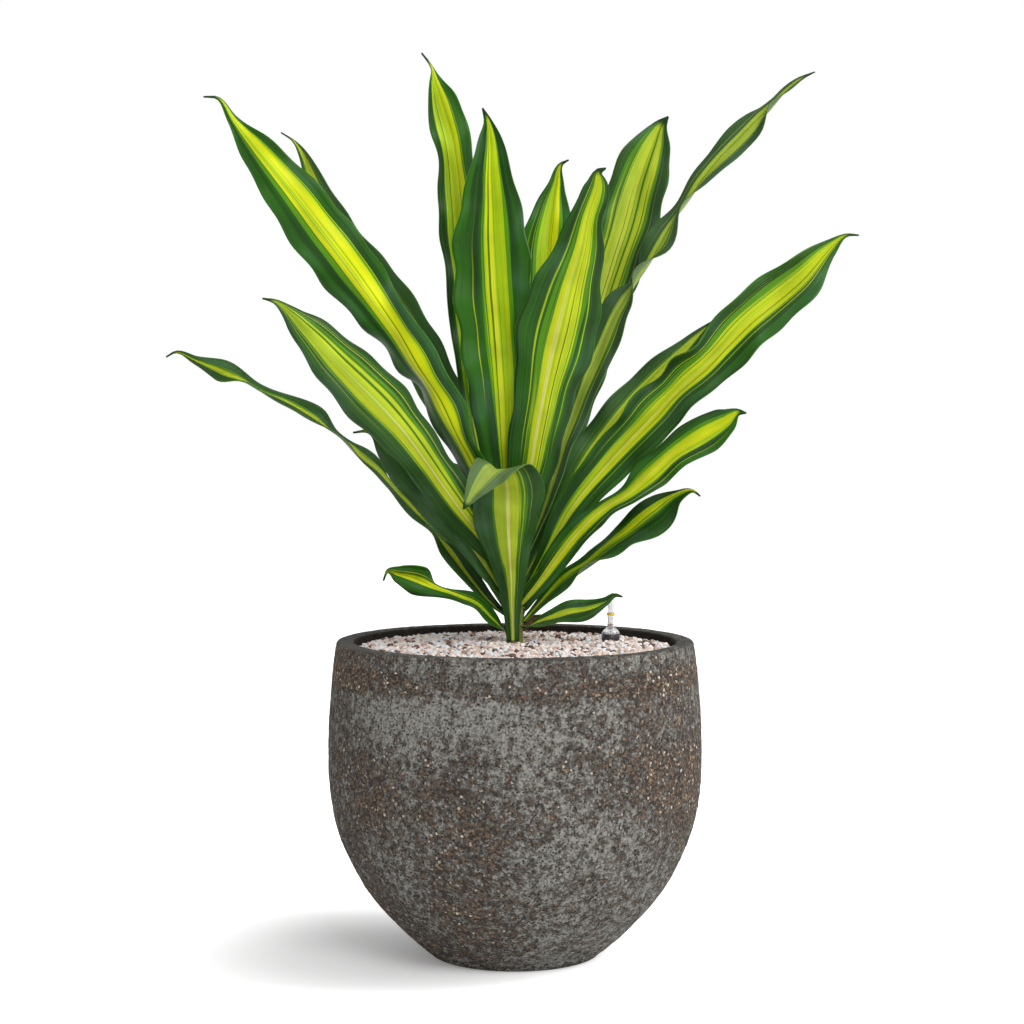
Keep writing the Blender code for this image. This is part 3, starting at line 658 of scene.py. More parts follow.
@dataclass(frozen=True)
class StoneFinish:
    """A mix of cream, pink, pale blue and dark maroon stones, one tint to each stone."""

    cream: Colour = Colour(240, 233, 229)
    pink: Colour = Colour(226, 202, 192)
    cool: Colour = Colour(222, 233, 241)
    tan: Colour = Colour(186, 160, 146)
    maroon: Colour = Colour(84, 54, 52)
    pink_from: float = 0.34
    cool_from: float = 0.56
    tan_from: float = 0.72
    maroon_from: float = 0.84
    change: float = 0.02
    grit_scale: float = 900.0
    grit_edge: Span = (0.60, 0.35)
    grit_share: float = 0.25
    grit_depth: float = 0.0005

    def material(self) -> Material:
        """Return the stone material, which reads each stone's tint attribute."""
        s = Sketch("gravel_stone", 0.72)
        tint = s.attribute("tint")
        later = (
            (self.pink_from, self.pink), (self.cool_from, self.cool),
            (self.tan_from, self.tan), (self.maroon_from, self.maroon),
        )
        colour: object = self.cream
        for start, stone in later:
            colour = s.mix(s.step(tint, start, start + self.change), colour, stone)
        grit = s.noise(s.place(), self.grit_scale, 3.0)
        s.colour(s.mix(s.math("MULTIPLY", s.step(grit, *self.grit_edge), self.grit_share), colour, self.tan))
        s.bump(grit, 0.35, self.grit_depth)
        return s.material


@dataclass(frozen=True)
class SpeckleFinish:
    """Two colours mixed by noise, with a matching bump."""

    name: str
    first: Colour
    second: Colour
    scale: float
    roughness: float
    stretch: Point = (1.0, 1.0, 1.0)
    depth: float = 0.0006
    edge: Span = (0.35, 0.65)

    def material(self) -> Material:
        """Return the speckled material."""
        s = Sketch(self.name, self.roughness)
        value = s.noise(s.place(self.stretch), self.scale, 4.0, 0.6)
        s.colour(s.mix(s.step(value, *self.edge), self.first, self.second))
        s.bump(value, 0.4, self.depth)
        return s.material


@dataclass(frozen=True)
class ClearFinish:
    """Clear moulded plastic with a faint tint and slight wear."""

    name: str = "clear_plastic"
    tint: Colour = Colour(248, 248, 248)
    worn: Colour = Colour(238, 238, 240)
    roughness: float = 0.06
    transmission: float = 0.8
    bending: float = 1.46
    scale: float = 90.0
    edge: Span = (0.4, 0.7)

    def material(self) -> Material:
        """Return the clear plastic material."""
        s = Sketch(self.name, self.roughness)
        value = s.noise(s.place(), self.scale, 3.0, 0.6)
        s.colour(s.mix(s.step(value, *self.edge), self.tint, self.worn))
        s.shader.inputs["Transmission Weight"].default_value = self.transmission
        s.shader.inputs["IOR"].default_value = self.bending
        return s.material


def deselect() -> None:
    """Leave object mode with nothing selected."""
    if bpy.context.object and bpy.context.object.mode != "OBJECT":
        bpy.ops.object.mode_set(mode="OBJECT")
    bpy.ops.object.select_all(action="DESELECT")


def dress(item: bpy.types.Object, material: Material) -> None:
    """Give an object one material."""
    item.data.materials.clear()
    item.data.materials.append(material)


def pick(item: bpy.types.Object) -> None:
    """Select one object alone and make it the active one."""
    deselect()
    item.select_set(True)
    bpy.context.view_layer.objects.active = item


def report(item: bpy.types.Object) -> None:
    """Log a finished piece."""
    LOG.info("%s: %d faces", item.name, len(item.data.polygons))


def stand_for(item: bpy.types.Object, body: str, node: str) -> None:
    """Put a finished piece in place of a plain solid.

    Args:
        item: the piece.
        body: the body that it rides on.
        node: the solid that it replaces.
    """
    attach(item, body)
    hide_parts(node)
    report(item)


def settle(item: bpy.types.Object, name: str) -> bpy.types.Object:
    """Name an object and bake its place into its mesh.

    Args:
        item: the object.
        name: its new name.

    Returns:
        The same object, at the origin.
    """
    item.name = name
    item.data.name = name
    pick(item)
    bpy.ops.object.transform_apply(location=True, rotation=True, scale=True)
    item.select_set(False)
    return item


def ring_stack(
    name: str, rings: tuple[Ring, ...], sides: int, centre: Ring = (0.0, 0.0), hollow: bool = False
) -> bpy.types.Object:
    """Extrude a circle from ring to ring into a turned shape.

    Args:
        name: the object's name.
        rings: (radius, height) of each ring in order.
        sides: points around.
        centre: the axis's (x, y).
        hollow: whether the last ring joins the first, leaving a bore.

    Returns:
        The turned object, at the origin.
    """
    deselect()
    radius, height = rings[0]
    fill = "NOTHING" if hollow else "NGON"
    start = (*centre, height)
    bpy.ops.mesh.primitive_circle_add(vertices=sides, radius=radius, fill_type=fill, location=start)
    item = bpy.context.object
    bpy.ops.object.mode_set(mode="EDIT")
    bpy.ops.mesh.select_all(action="SELECT")
    for next_radius, next_height in rings[1:]:
        rise = (0.0, 0.0, next_height - height)
        if hollow:
            bpy.ops.mesh.extrude_edges_move(TRANSFORM_OT_translate={"value": rise})
        else:
            bpy.ops.mesh.extrude_region_move(TRANSFORM_OT_translate={"value": rise})
        ratio = next_radius / radius
        bpy.ops.transform.resize(value=(ratio, ratio, 1.0), center_override=(*centre, next_height))
        radius, height = next_radius, next_height
    if hollow:
        bpy.ops.mesh.select_all(action="DESELECT")
        bpy.ops.mesh.select_non_manifold()
        bpy.ops.mesh.bridge_edge_loops()
    bpy.ops.mesh.select_all(action="SELECT")
    bpy.ops.mesh.normals_make_consistent(inside=False)
    bpy.ops.object.mode_set(mode="OBJECT")
    return settle(item, name)


def refine(item: bpy.types.Object, levels: int) -> None:
    """Apply a Subdivision Surface modifier.

    Args:
        item: the object.
        levels: how many subdivisions.
    """
    pick(item)
    surface = item.modifiers.new("refine", "SUBSURF")
    surface.levels = levels
    surface.render_levels = levels
    bpy.ops.object.modifier_apply(modifier=surface.name)
    item.data.shade_smooth()
    item.select_set(False)


@dataclass(frozen=True)
class BladeSizes:
    """How finely a blade is divided, its thickness and crease, and the waves and swellings along it."""

    across: int = 24
    along: int = 110
    thickness: float = 0.0009
    narrowest: float = 0.8
    crease: float = 0.0006
    crease_width: float = 0.0016
    ruffle: float = 0.0095
    ruffle_wave: float = 0.072
    ruffle_swing: float = 1.25
    full_ruffle_width: float = 0.018
    edge_power: float = 1.8
    leaf_phase: float = 1.7
    side_phase: float = 2.1
    wander: float = 0.045
    wander_rate: float = 1.31
    quilt: float = 0.0035
    quilt_across: float = 1.6
    quilt_along: float = 2.0
    sway: float = 16.0
    sway_wave: float = 0.16
    calm_foot: Span = (0.12, 0.37)
    calm_tip: float = 0.10


class Foliage:
    """The long strap leaves, each its own blade with a crease along the middle and ruffled margins."""

    def __init__(self, sizes: BladeSizes, living: Material, dried: Material) -> None:
        """Keep the sizes and materials, and make the flat blade that every leaf is copied from.

        Args:
            sizes: the blade's divisions and sizes.
            living: material of the green leaves.
            dried: material of the withered leaf.
        """
        self.sizes = sizes
        self.living = living
        self.dried = dried
        deselect()
        bpy.ops.mesh.primitive_grid_add(x_subdivisions=sizes.across, y_subdivisions=sizes.along, size=2.0)
        self.blank = bpy.context.object
        self.blank.name = "blade_blank"
        self.blank.data.uv_layers[0].name = "blade"

    @staticmethod
    def curve(stations: tuple[tuple[float, ...], ...], shares: list[float]) -> list[list[float]]:
        """Return the station values at each share of the midrib's length.

        Args:
            stations: the leaf's stations.
            shares: places along the midrib, from 0 to 1.

        Returns:
            One row of (x, y, z, roll, width) for each share.
        """
        places = [Vector(row[:3]) for row in stations]
        reach = [0.0]
        for start, end in zip(places, places[1:]):
            reach.append(reach[-1] + (end - start).length)
        slopes = []
        for row0, row1, t0, t1 in zip(stations, stations[1:], reach, reach[1:]):
            slopes.append([(b - a) / (t1 - t0) for a, b in zip(row0, row1)])
        middles = [[(a + b) / 2.0 for a, b in zip(s0, s1)] for s0, s1 in zip(slopes, slopes[1:])]
        tangents = [slopes[0], *middles, slopes[-1]]
        rows = []
        for share in shares:
            distance = reach[-1] * min(max(share, 0.0), 1.0)
            span = max(i for i in range(len(reach) - 1) if reach[i] <= distance)
            size = reach[span + 1] - reach[span]
            t = (distance - reach[span]) / size
            weights = (2 * t**3 - 3 * t**2 + 1, t**3 - 2 * t**2 + t, 3 * t**2 - 2 * t**3, t**3 - t**2)
            sides = zip(stations[span], tangents[span], stations[span + 1], tangents[span + 1])
            row = []
            for p0, m0, p1, m1 in sides:
                ends = p0 * weights[0] + p1 * weights[2]
                row.append(ends + (m0 * weights[1] + m1 * weights[3]) * size)
            rows.append(row)
        return rows

    @staticmethod
    def axes(tangent: Vector, roll: float, across_x: bool) -> tuple[Vector, Vector]:
        """Return the blade's sideways and face directions.

        Args:
            tangent: the midrib's direction.
            roll: turn about the midrib in radians.
            across_x: whether the unrolled blade lies across X.

        Returns:
            The sideways direction and the face's normal.
        """
        if across_x:
            level = (RIGHT - RIGHT.dot(tangent) * tangent).normalized()
        else:
            level = tangent.cross(FORWARD).normalized()
        face = level.cross(tangent)
        side = math.cos(roll) * level + math.sin(roll) * face
        return side, side.cross(tangent)

    def calm(self, share: float) -> float:
        """Return 1 along the blade, falling to 0 at its base and tip."""
        start, full = self.sizes.calm_foot
        foot = min(1.0, max(0.0, (share - start) / (full - start)))
        return foot * min(1.0, max(0.0, (1.0 - share) / self.sizes.calm_tip))

    def shape(self, leaf: Leaf, number: int) -> bpy.types.Object:
        """Copy the flat blade and bend it along one leaf's stations.

        Args:
            leaf: the leaf.
            number: its place in the list, which seeds its ruffle.

        Returns:
            The finished leaf.
        """
        s = self.sizes
        item = self.blank.copy()
        item.data = self.blank.data.copy()
        bpy.context.scene.collection.objects.link(item)
        item.name = "visual_" + leaf.name
        item.data.name = item.name
        rows = self.curve(leaf.stations, [index / s.along for index in range(s.along + 1)])
        spots = [Vector(row[:3]) * MM for row in rows]
        length = sum((b - a).length for a, b in zip(spots, spots[1:]))
        waves = length / s.ruffle_wave
        fold = math.radians(leaf.fold)
        style = STYLES.get(leaf.name, LeafStyle())
        frames = []
        for index, (spot, row) in enumerate(zip(spots, rows)):
            ahead = spots[min(index + 1, s.along)]
            behind = spots[max(index - 1, 0)]
            share = index / s.along
            swing = noise.noise(Vector((share * length / s.sway_wave, number * 2.3, 9.0)))
            roll = row[3] + 2.0 * s.sway * style.ruffle * swing * self.calm(share)
            side, face = self.axes((ahead - behind).normalized(), math.radians(roll), leaf.across_x)
            half_width = max(row[4] / 2.0, s.narrowest) * MM
            frames.append((spot, side, face, half_width))
        for vertex in item.data.vertices:
            across, share = vertex.co.x, (vertex.co.y + 1.0) / 2.0
            spot, side, face, half_width = frames[round(share * s.along)]
            calm = self.calm(share)
            edge = abs(across) ** s.edge_power
            turn = 2.0 * math.pi * share * waves
            phase = number * s.leaf_phase + (s.side_phase if across > 0 else 0.0)
            place = Vector((share * waves * s.ruffle_swing, number * 3.1, 5.0 if across > 0 else 0.0))
            rise = math.sin(turn + phase) * 0.5 + noise.noise(place)
            narrow = min(1.0, half_width / s.full_ruffle_width)
            ruffle = s.ruffle * style.ruffle * rise * edge * calm * narrow
            wander = 1.0 + s.wander * calm * edge * math.sin(turn * s.wander_rate + phase)
            place = Vector((across * s.quilt_across, share * waves * s.quilt_along, number * 4.7))
            quilt = s.quilt * calm * noise.noise(place)
            crease = s.crease * math.exp(-((across * half_width / s.crease_width) ** 2)) * calm
            sideways = side * (across * half_width * wander * math.cos(fold))
            outwards = face * (abs(across) * half_width * math.sin(fold) + ruffle + quilt - crease)
            vertex.co = spot + sideways + outwards
        pick(item)
        skin = item.modifiers.new("skin", "SOLIDIFY")
        skin.thickness = s.thickness
        skin.offset = 0.0
        bpy.ops.object.modifier_apply(modifier=skin.name)
        self.mark(item, style, number)
        item.data.shade_smooth()
        return item

    @staticmethod
    def mark(item: bpy.types.Object, style: LeafStyle, number: int) -> None:
        """Write the values that the leaf material reads onto every point.

        Args:
            item: the leaf's object, whose first points are one skin and the rest the other.
            style: its stripes.
            number: its place in the list.
        """
        count = len(item.data.vertices)
        values = {
            "leaf_seed": [number * 3.37] * count,
            "band_centre": [style.band] * count,
            "band_half": [style.half] * count,
            "dullness": [style.dull] * count,
            "rib_strength": [style.rib] * count,
            "under": [0.0] * (count // 2) + [1.0] * (count - count // 2),
        }
        for name, row in values.items():
            layer = item.data.attributes.new(name, "FLOAT", "POINT")
            layer.data.foreach_set("value", row)

    def build(self) -> None:
        """Build every leaf, then remove the flat blade."""
        for number, leaf in enumerate(LEAVES):
            item = self.shape(leaf, number)
            withered = leaf.name == "leaf_dried"
            dress(item, self.dried if withered else self.living)
            stand_for(item, PLANT, leaf.name)
        bpy.data.objects.remove(self.blank)


@dataclass(frozen=True)
class PlanterSizes:
    """The planter's outline as (radius, height), from the base over the rim to the floor inside."""

    rings: tuple[Ring, ...] = (
        (0.040, 0.0), (0.0770, 0.0), (0.0800, 0.0002), (0.0835, 0.0015), (0.088, 0.0046),
        (0.106, 0.019), (0.134, 0.048), (0.154, 0.073), (0.1695, 0.104), (0.1783, 0.126),
        (0.1835, 0.147), (0.1872, 0.172), (0.188, 0.198), (0.1875, 0.225), (0.186, 0.255),
        (0.1836, 0.285), (0.1808, 0.306), (0.1797, 0.3135), (0.1792, 0.3155), (0.1780, 0.3172),
        (0.1762, 0.3178), (0.170, 0.3180), (0.1632, 0.3178), (0.1612, 0.3168), (0.1604, 0.3145),
        (0.1625, 0.290), (0.165, 0.262), (0.168, 0.200), (0.163, 0.150), (0.150, 0.108),
        (0.132, 0.076), (0.104, 0.047), (0.070, 0.0285), (0.066, 0.028), (0.030, 0.028),
    )
    sides: int = 128
    levels: int = 2
    unevenness: float = 0.0008
    slow_scale: float = 22.0
    slow_share: float = 0.8
    quick_scale: float = 160.0
    quick_share: float = 0.9
    inwards: float = 0.6
    rim_height: float = 0.314
    rim_share: float = 0.35
    base_height: float = 0.003
    floor_hole: float = 0.02
    outmost: float = 0.0002


class Planter:
    """The rounded cement planter with its rough wall and smoother rim."""

    def __init__(self, sizes: PlanterSizes, cement: Material) -> None:
        """Keep the sizes and the material."""
        self.sizes = sizes
        self.cement = cement

    def roughen(self, item: bpy.types.Object) -> None:
        """Push the wall's points in and out a little, and leave the base flat.

        Args:
            item: the planter's object.
        """
        s = self.sizes
        outwards = [vertex.normal.copy() for vertex in item.data.vertices]
        for vertex, outward in zip(item.data.vertices, outwards):
            x, y, z = vertex.co
            if z < s.base_height or math.hypot(x, y) < s.floor_hole:
                continue
            slow = noise.noise(vertex.co * s.slow_scale)
            quick = noise.fractal(vertex.co * s.quick_scale, 0.8, 2.1, 4)
            strength = s.unevenness * (s.rim_share if z > s.rim_height else 1.0)
            push = (slow * s.slow_share + quick * s.quick_share - s.inwards) * strength
            vertex.co += outward * min(push, s.outmost)

    def build(self) -> None:
        """Build the planter."""
        item = ring_stack("visual_planter", self.sizes.rings, self.sizes.sides)
        refine(item, self.sizes.levels)
        self.roughen(item)
        dress(item, self.cement)
        stand_for(item, PLANT, "planter")


@dataclass(frozen=True)
class GravelSizes:
    """Stone sizes, spacing, the bed's heights, and the (x, y, radius) that stones keep clear of."""

    stone: float = 0.0025
    spread: float = 0.00112
    spacing: float = 0.0049
    reach: float = 0.1565
    tries: int = 40000
    kinds: int = 7
    bevel: float = 0.24
    nudge: float = 0.14
    flatness: Span = (0.75, 1.15)
    lift: Span = (-0.05, 0.22)
    bed_middle: float = 0.3105
    bed_edge: float = 0.3075
    bed_radius: float = 0.160
    stem: Point = (0.0, 0.030, 0.0135)
    gauge: Point = (0.0985, 0.060, 0.0128)
    seed: int = 41


class Gravel:
    """A layer of small angular stones over the planting medium."""

    def __init__(self, sizes: GravelSizes, stone: Material, bed: Material) -> None:
        """Keep the sizes and materials.

        Args:
            sizes: the stones' sizes.
            stone: material of the loose stones.
            bed: material of the bed that shows between them, dark as painted shade in the gaps.
        """
        self.sizes = sizes
        self.stone = stone
        self.bed = bed
        self.draw = random.Random(sizes.seed)

    def kind(self) -> tuple[list[Vector], list[tuple[int, ...]]]:
        """Model one stone, a small block with its corners cut and its points nudged.

        Returns:
            The stone's points about its middle, and its faces.
        """
        deselect()
        bpy.ops.mesh.primitive_cube_add(size=1.0, location=(0.0, 0.0, 0.0))
        block = bpy.context.object
        bpy.ops.object.mode_set(mode="EDIT")
        bpy.ops.mesh.select_all(action="SELECT")
        bpy.ops.mesh.bevel(offset=self.sizes.bevel, segments=1, affect="EDGES")
        bpy.ops.object.mode_set(mode="OBJECT")
        far = self.sizes.nudge
        points = []
        for vertex in block.data.vertices:
            points.append(vertex.co + Vector([self.draw.uniform(-far, far) for _ in range(3)]))
        faces = [tuple(polygon.vertices) for polygon in block.data.polygons]
        bpy.data.objects.remove(block)
        return points, faces

    def surface(self, x: float, y: float) -> float:
        """Return the height of the bed at a place."""
        s = self.sizes
        share = min(1.0, math.hypot(x, y) / s.bed_radius)
        return s.bed_middle - (s.bed_middle - s.bed_edge) * share**2

    def places(self) -> list[tuple[float, float]]:
        """Return the stones' places, no two nearer than the spacing.

        Returns:
            A list of (x, y).
        """
        s = self.sizes
        found: list[tuple[float, float]] = []
        grid: dict[tuple[int, int], list[tuple[float, float]]] = {}
        for _ in range(s.tries):
            x = self.draw.uniform(-s.reach, s.reach)
            y = self.draw.uniform(-s.reach, s.reach)
            if math.hypot(x, y) > s.reach:
                continue
            if any(math.hypot(x - cx, y - cy) < gap for cx, cy, gap in (s.stem, s.gauge)):
                continue
            column, row = int(x // s.spacing), int(y // s.spacing)
            near = [p for i in (-1, 0, 1) for j in (-1, 0, 1) for p in grid.get((column + i, row + j), [])]
            if any(math.hypot(x - px, y - py) < s.spacing for px, py in near):
                continue
            found.append((x, y))
            grid.setdefault((column, row), []).append((x, y))
        return found

    def build(self) -> None:
        """Build the stones as one piece and finish the bed below them."""
        s = self.sizes
        kinds = [self.kind() for _ in range(s.kinds)]
        points: list[Vector] = []
        faces: list[tuple[int, ...]] = []
        tints: list[float] = []
        for x, y in self.places():
            shape, sides = self.draw.choice(kinds)
            size = s.stone * 2.0 + self.draw.uniform(-s.spread, s.spread)
            turn = Vector([self.draw.gauss(0.0, 1.0) for _ in range(3)]).normalized().to_track_quat("Z", "Y")
            squash = Vector([self.draw.uniform(*s.flatness) for _ in range(3)])
            lift = self.surface(x, y) + size * self.draw.uniform(*s.lift)
            start = len(points)
            for point in shape:
                points.append(turn @ (point * squash * size) + Vector((x, y, lift)))
            faces += [tuple(start + corner for corner in side) for side in sides]
            tints += [self.draw.random()] * len(sides)
        mesh = bpy.data.meshes.new("visual_gravel")
        mesh.from_pydata(points, [], faces)
        layer = mesh.attributes.new("tint", "FLOAT", "FACE")
        layer.data.foreach_set("value", tints)
        item = bpy.data.objects.new("visual_gravel", mesh)
        bpy.context.scene.collection.objects.link(item)
        dress(item, self.stone)
        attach(item, PLANT)
        # the bed's dark colour is painted shade in the gaps between the stones
        dress(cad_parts["gravel_topping"], self.bed)
        report(item)


@dataclass(frozen=True)
class CaneSizes:
    """The short cane: where it stands, its ends, and the leaf scars round it."""

    centre: Ring = (0.0, 0.030)
    bottom: float = 0.231
    top: float = 0.448
    low_radius: float = 0.0090
    high_radius: float = 0.0077
    scars: int = 18
    scar_share: float = 0.955
    sides: int = 24


class Cane:
    """The short cane that the leaves grow from, ringed by leaf scars."""

    def __init__(self, sizes: CaneSizes, bark: Material) -> None:
        """Keep the sizes and the material."""
        self.sizes = sizes
        self.bark = bark

    def build(self) -> None:
        """Build the cane."""
        s = self.sizes
        rings = []
        steps = s.scars * 3
        for index in range(steps + 1):
            share = index / steps
            radius = s.low_radius + (s.high_radius - s.low_radius) * share
            pinch = s.scar_share if index % 3 == 1 else 1.0
            rings.append((radius * pinch, s.bottom + (s.top - s.bottom) * share))
        item = ring_stack("visual_stem", tuple(rings), s.sides, s.centre)
        item.data.shade_smooth()
        dress(item, self.bark)
        stand_for(item, PLANT, "stem")


@dataclass(frozen=True)
class GaugeSizes:
    """The water gauge's turned outlines as (radius, height), closed loops round a bore, and its solid cap."""

    centre: Ring = (0.0985, 0.060)
    sides: int = 40
    sharp: float = 40.0
    body: tuple[Ring, ...] = (
        (0.0030, 0.0900), (0.0080, 0.0900), (0.0080, 0.3112), (0.0088, 0.3115), (0.0093, 0.3120),
        (0.0093, 0.3170), (0.0090, 0.3175), (0.0055, 0.3175), (0.0055, 0.0940), (0.0030, 0.0940),
    )
    shoulder: tuple[Ring, ...] = (
        (0.0014, 0.3178), (0.0089, 0.3178), (0.0093, 0.3181), (0.0092, 0.3188), (0.0086, 0.3198),
        (0.0074, 0.3212), (0.0060, 0.3225), (0.0050, 0.3236), (0.0045, 0.3245), (0.0014, 0.3245),
    )
    tube: tuple[Ring, ...] = ((0.0025, 0.3248), (0.0034, 0.3248), (0.0034, 0.3570), (0.0025, 0.3570))
    mark: tuple[Ring, ...] = (
        (0.0037, 0.3368), (0.0041, 0.3369), (0.0042, 0.3372), (0.0042, 0.3388), (0.0041, 0.3391),
        (0.0037, 0.3392),
    )
    pointer: tuple[Ring, ...] = (
        (0.0011, 0.3250), (0.0018, 0.3250), (0.0021, 0.3253), (0.0021, 0.3277), (0.0018, 0.3280),
        (0.0011, 0.3280),
    )
    cap: tuple[Ring, ...] = (
        (0.0036, 0.3573), (0.0036, 0.3588), (0.0033, 0.3595), (0.0026, 0.3599), (0.0014, 0.3600),
    )


class Gauge:
    """The water gauge: a dark tube, a clear shoulder and sight tube, and a red pointer on a float."""

    def __init__(self, sizes: GaugeSizes, finishes: dict[str, Material]) -> None:
        """Keep the sizes and a material for each part of the gauge."""
        self.sizes = sizes
        self.finishes = finishes

    def part(self, name: str, rings: tuple[Ring, ...], body: str, hollow: bool = True) -> None:
        """Turn one part of the gauge and put it in place of its plain solid.

        Args:
            name: the part's name.
            rings: its outline.
            body: the body that it rides on.
            hollow: whether it has a bore.
        """
        item = ring_stack("visual_" + name, rings, self.sizes.sides, self.sizes.centre, hollow)
        item.data.shade_smooth()
        item.data.set_sharp_from_angle(angle=math.radians(self.sizes.sharp))
        dress(item, self.finishes[name])
        stand_for(item, body, name)

    def build(self) -> None:
        """Build the gauge's visible parts and finish the hidden float and rod."""
        s = self.sizes
        self.part("gauge_body", s.body, PLANT)
        self.part("gauge_shoulder", s.shoulder, PLANT)
        self.part("gauge_sight_tube", s.tube, PLANT)
        self.part("gauge_cap", s.cap, PLANT, hollow=False)
        self.part("gauge_mark", s.mark, PLANT)
        self.part("gauge_pointer", s.pointer, FLOAT)
        for name in ("gauge_float", "gauge_rod"):
            dress(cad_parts[name], self.finishes[name])
            LOG.info("%s finished with %s", name, self.finishes[name].name)


@dataclass(frozen=True)
class StudioSizes:
    """The camera, lamps and floor."""

    eye: Point = (-0.003, -2.4, 0.567)
    target: Point = (-0.003, 0.0, 0.446)
    lens: float = 84.4
    sensor: float = 36.0
    floor: float = 12.0
    key_place: Point = (2.1, -0.25, 2.2)
    key_size: float = 1.2
    key_power: float = 40.0
    front_place: Point = (0.9, -2.5, 2.0)
    front_size: float = 1.5
    front_power: float = 44.0
    sky: float = 0.50
    glow_centre: Point = (-0.14, 0.0, 0.0)
    glow_near: float = 0.14
    glow_far: float = 0.80
    glow_start: float = 0.06
    glow_end: float = 0.32


class Studio:
    """A white floor, soft lamps and the camera."""

    def __init__(self, sizes: StudioSizes) -> None:
        """Keep the sizes."""
        self.sizes = sizes

    @staticmethod
    def seen(tree: bpy.types.NodeTree) -> Socket:
        """Return 1 for rays from the camera, a mirror or glass.

        Args:
            tree: the node tree to add to.

        Returns:
            The value socket.
        """
        path = tree.nodes.new("ShaderNodeLightPath")
        first = tree.nodes.new("ShaderNodeMath")
        first.operation = "MAXIMUM"
        second = tree.nodes.new("ShaderNodeMath")
        second.operation = "MAXIMUM"
        tree.links.new(path.outputs["Is Camera Ray"], first.inputs[0])
        tree.links.new(path.outputs["Is Glossy Ray"], first.inputs[1])
        tree.links.new(first.outputs[0], second.inputs[0])
        tree.links.new(path.outputs["Is Transmission Ray"], second.inputs[1])
        return second.outputs[0]

    def lamp(self, name: str, place: Point, size: float, power: float) -> None:
        """Add a square lamp that faces the plant.

        Args:
            name: the lamp's name.
            place: where it hangs.
            size: its side.
            power: its strength in watts.
        """
        data = bpy.data.lights.new(name, "AREA")
        data.size = size
        data.energy = power
        item = bpy.data.objects.new(name, data)
        bpy.context.scene.collection.objects.link(item)
        item.location = place
        item.rotation_euler = (AIM - Vector(place)).to_track_quat("-Z", "Y").to_euler()

    def sky(self) -> None:
        """Light the scene softly from all round, with a white background."""
        world = bpy.data.worlds.new("studio")
        bpy.context.scene.world = world
        world.use_nodes = True
        tree = world.node_tree
        tree.nodes.clear()
        soft = tree.nodes.new("ShaderNodeBackground")
        soft.inputs["Strength"].default_value = self.sizes.sky
        white = tree.nodes.new("ShaderNodeBackground")
        for light in (soft, white):
            light.inputs["Color"].default_value = WHITE
        choose = tree.nodes.new("ShaderNodeMixShader")
        tree.links.new(self.seen(tree), choose.inputs[0])
        tree.links.new(soft.outputs[0], choose.inputs[1])
        tree.links.new(white.outputs[0], choose.inputs[2])
        end = tree.nodes.new("ShaderNodeOutputWorld")
        tree.links.new(choose.outputs[0], end.inputs[0])

    def floor(self) -> None:
        """Lay a white floor that keeps the shadow."""
        deselect()
        bpy.ops.mesh.primitive_plane_add(size=self.sizes.floor, location=(0.0, 0.0, 0.0))
        item = settle(bpy.context.object, "studio_floor")
        s = Sketch("studio_floor", 0.9)
        s.colour(Colour(250, 250, 250))
        s.feed(s.shader.inputs["Specular IOR Level"], 0.0)
        away = s.node("ShaderNodeVectorMath", operation="DISTANCE")
        s.feed(away.inputs[0], s.place())
        away.inputs[1].default_value = self.sizes.glow_centre
        far = s.step(away.outputs["Value"], self.sizes.glow_start, self.sizes.glow_end)
        rise = s.math("MULTIPLY", far, self.sizes.glow_far - self.sizes.glow_near)
        glow = s.math("MULTIPLY", self.seen(s.tree), s.math("ADD", rise, self.sizes.glow_near))
        s.feed(s.shader.inputs["Emission Color"], WHITE)
        s.feed(s.shader.inputs["Emission Strength"], glow)
        dress(item, s.material)

    def camera(self) -> None:
        """Set the camera at the viewing place."""
        data = bpy.data.cameras.new("studio_camera")
        data.lens = self.sizes.lens
        data.sensor_width = self.sizes.sensor
        item = bpy.data.objects.new("studio_camera", data)
        bpy.context.scene.collection.objects.link(item)
        item.location = self.sizes.eye
        gaze = Vector(self.sizes.target) - Vector(self.sizes.eye)
        item.rotation_euler = gaze.to_track_quat("-Z", "Y").to_euler()
        bpy.context.scene.camera = item

    def build(self) -> None:
        """Set up the studio."""
        s = self.sizes
        self.sky()
        self.floor()
        self.lamp("key_lamp", s.key_place, s.key_size, s.key_power)
        self.lamp("front_lamp", s.front_place, s.front_size, s.front_power)
        self.camera()
        bpy.context.scene.view_settings.view_transform = "Standard"
        LOG.info("studio ready")


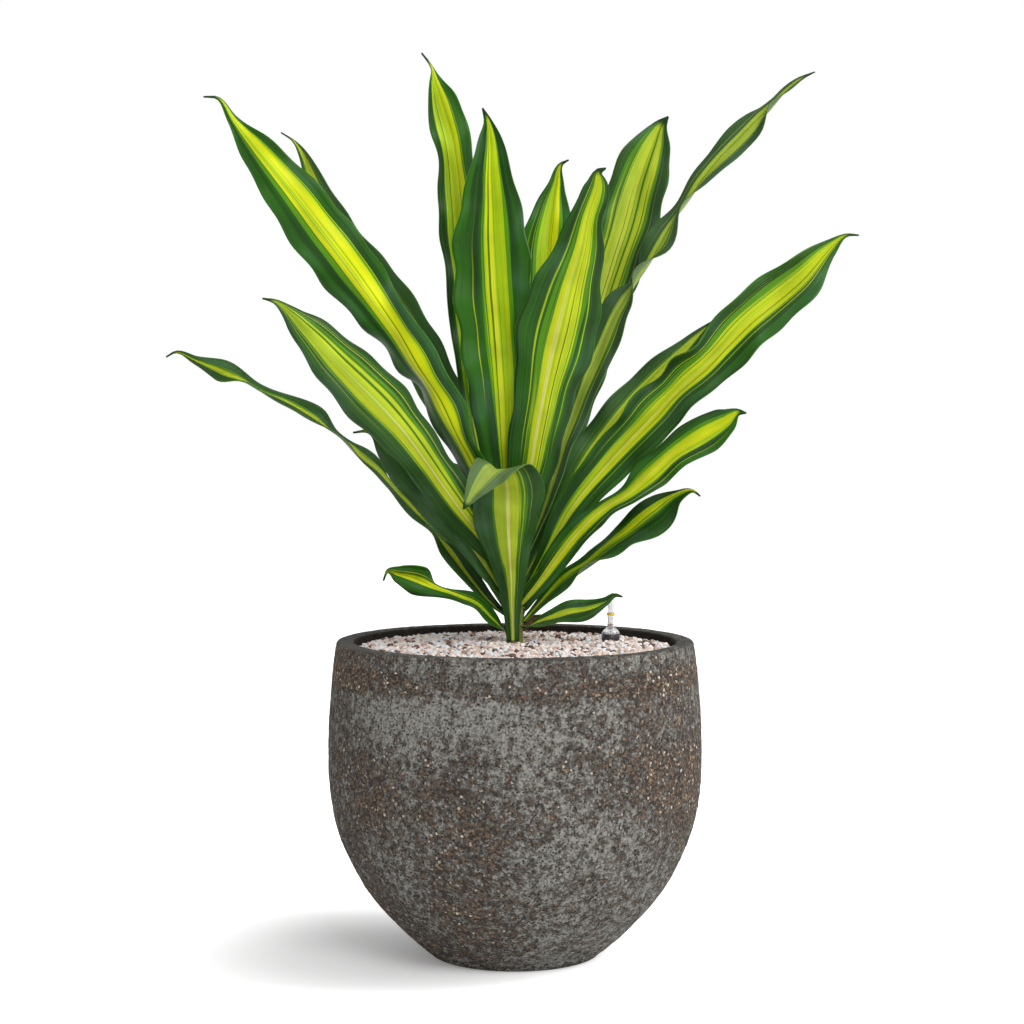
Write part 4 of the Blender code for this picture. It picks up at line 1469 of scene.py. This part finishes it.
SPECKLES = (
    # painted shade: the bed's dark colours stand for the shade in the gaps between the stones
    SpeckleFinish("gravel_bed_painted_shade", Colour(44, 28, 27), Colour(84, 60, 54), 420.0, 0.9),
    SpeckleFinish("clay_granules", Colour(112, 66, 44), Colour(150, 98, 68), 160.0, 0.95),
    SpeckleFinish("green_cane", Colour(92, 118, 30), Colour(128, 110, 58), 240.0, 0.65, (1.0, 1.0, 0.3)),
    SpeckleFinish("dried_blade", Colour(66, 38, 22), Colour(104, 70, 42), 90.0, 0.85),
    SpeckleFinish("dark_plastic", Colour(38, 28, 36), Colour(54, 42, 50), 300.0, 0.38, depth=0.0001),
    SpeckleFinish("yellow_mark", Colour(236, 190, 40), Colour(244, 204, 70), 400.0, 0.4, depth=0.0001),
    SpeckleFinish("red_pointer", Colour(212, 34, 28), Colour(190, 24, 22), 400.0, 0.4, depth=0.0001),
    SpeckleFinish("pointer_rod", Colour(206, 206, 208), Colour(180, 180, 184), 500.0, 0.4, depth=0.0001),
    SpeckleFinish("float_foam", Colour(228, 226, 216), Colour(206, 204, 194), 700.0, 0.85),
)


def main() -> None:
    """Build every visible piece round the construction frame."""
    logging.basicConfig(level=logging.INFO, format="%(name)s: %(message)s")
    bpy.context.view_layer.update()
    speckled = {finish.name: finish.material() for finish in SPECKLES}
    clear = ClearFinish().material()
    Studio(StudioSizes()).build()
    Planter(PlanterSizes(), CementFinish().material()).build()
    Gravel(GravelSizes(), StoneFinish().material(), speckled["gravel_bed_painted_shade"]).build()
    dress(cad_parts["growing_medium"], speckled["clay_granules"])
    Cane(CaneSizes(), speckled["green_cane"]).build()
    Foliage(BladeSizes(), BladeFinish().material(), speckled["dried_blade"]).build()
    finishes = {name: clear for name in ("gauge_shoulder", "gauge_sight_tube", "gauge_cap")}
    finishes["gauge_body"] = speckled["dark_plastic"]
    finishes["gauge_mark"] = speckled["yellow_mark"]
    finishes["gauge_float"] = speckled["float_foam"]
    finishes["gauge_rod"] = speckled["pointer_rod"]
    finishes["gauge_pointer"] = speckled["red_pointer"]
    Gauge(GaugeSizes(), finishes).build()


if __name__ == "__main__":
    main()
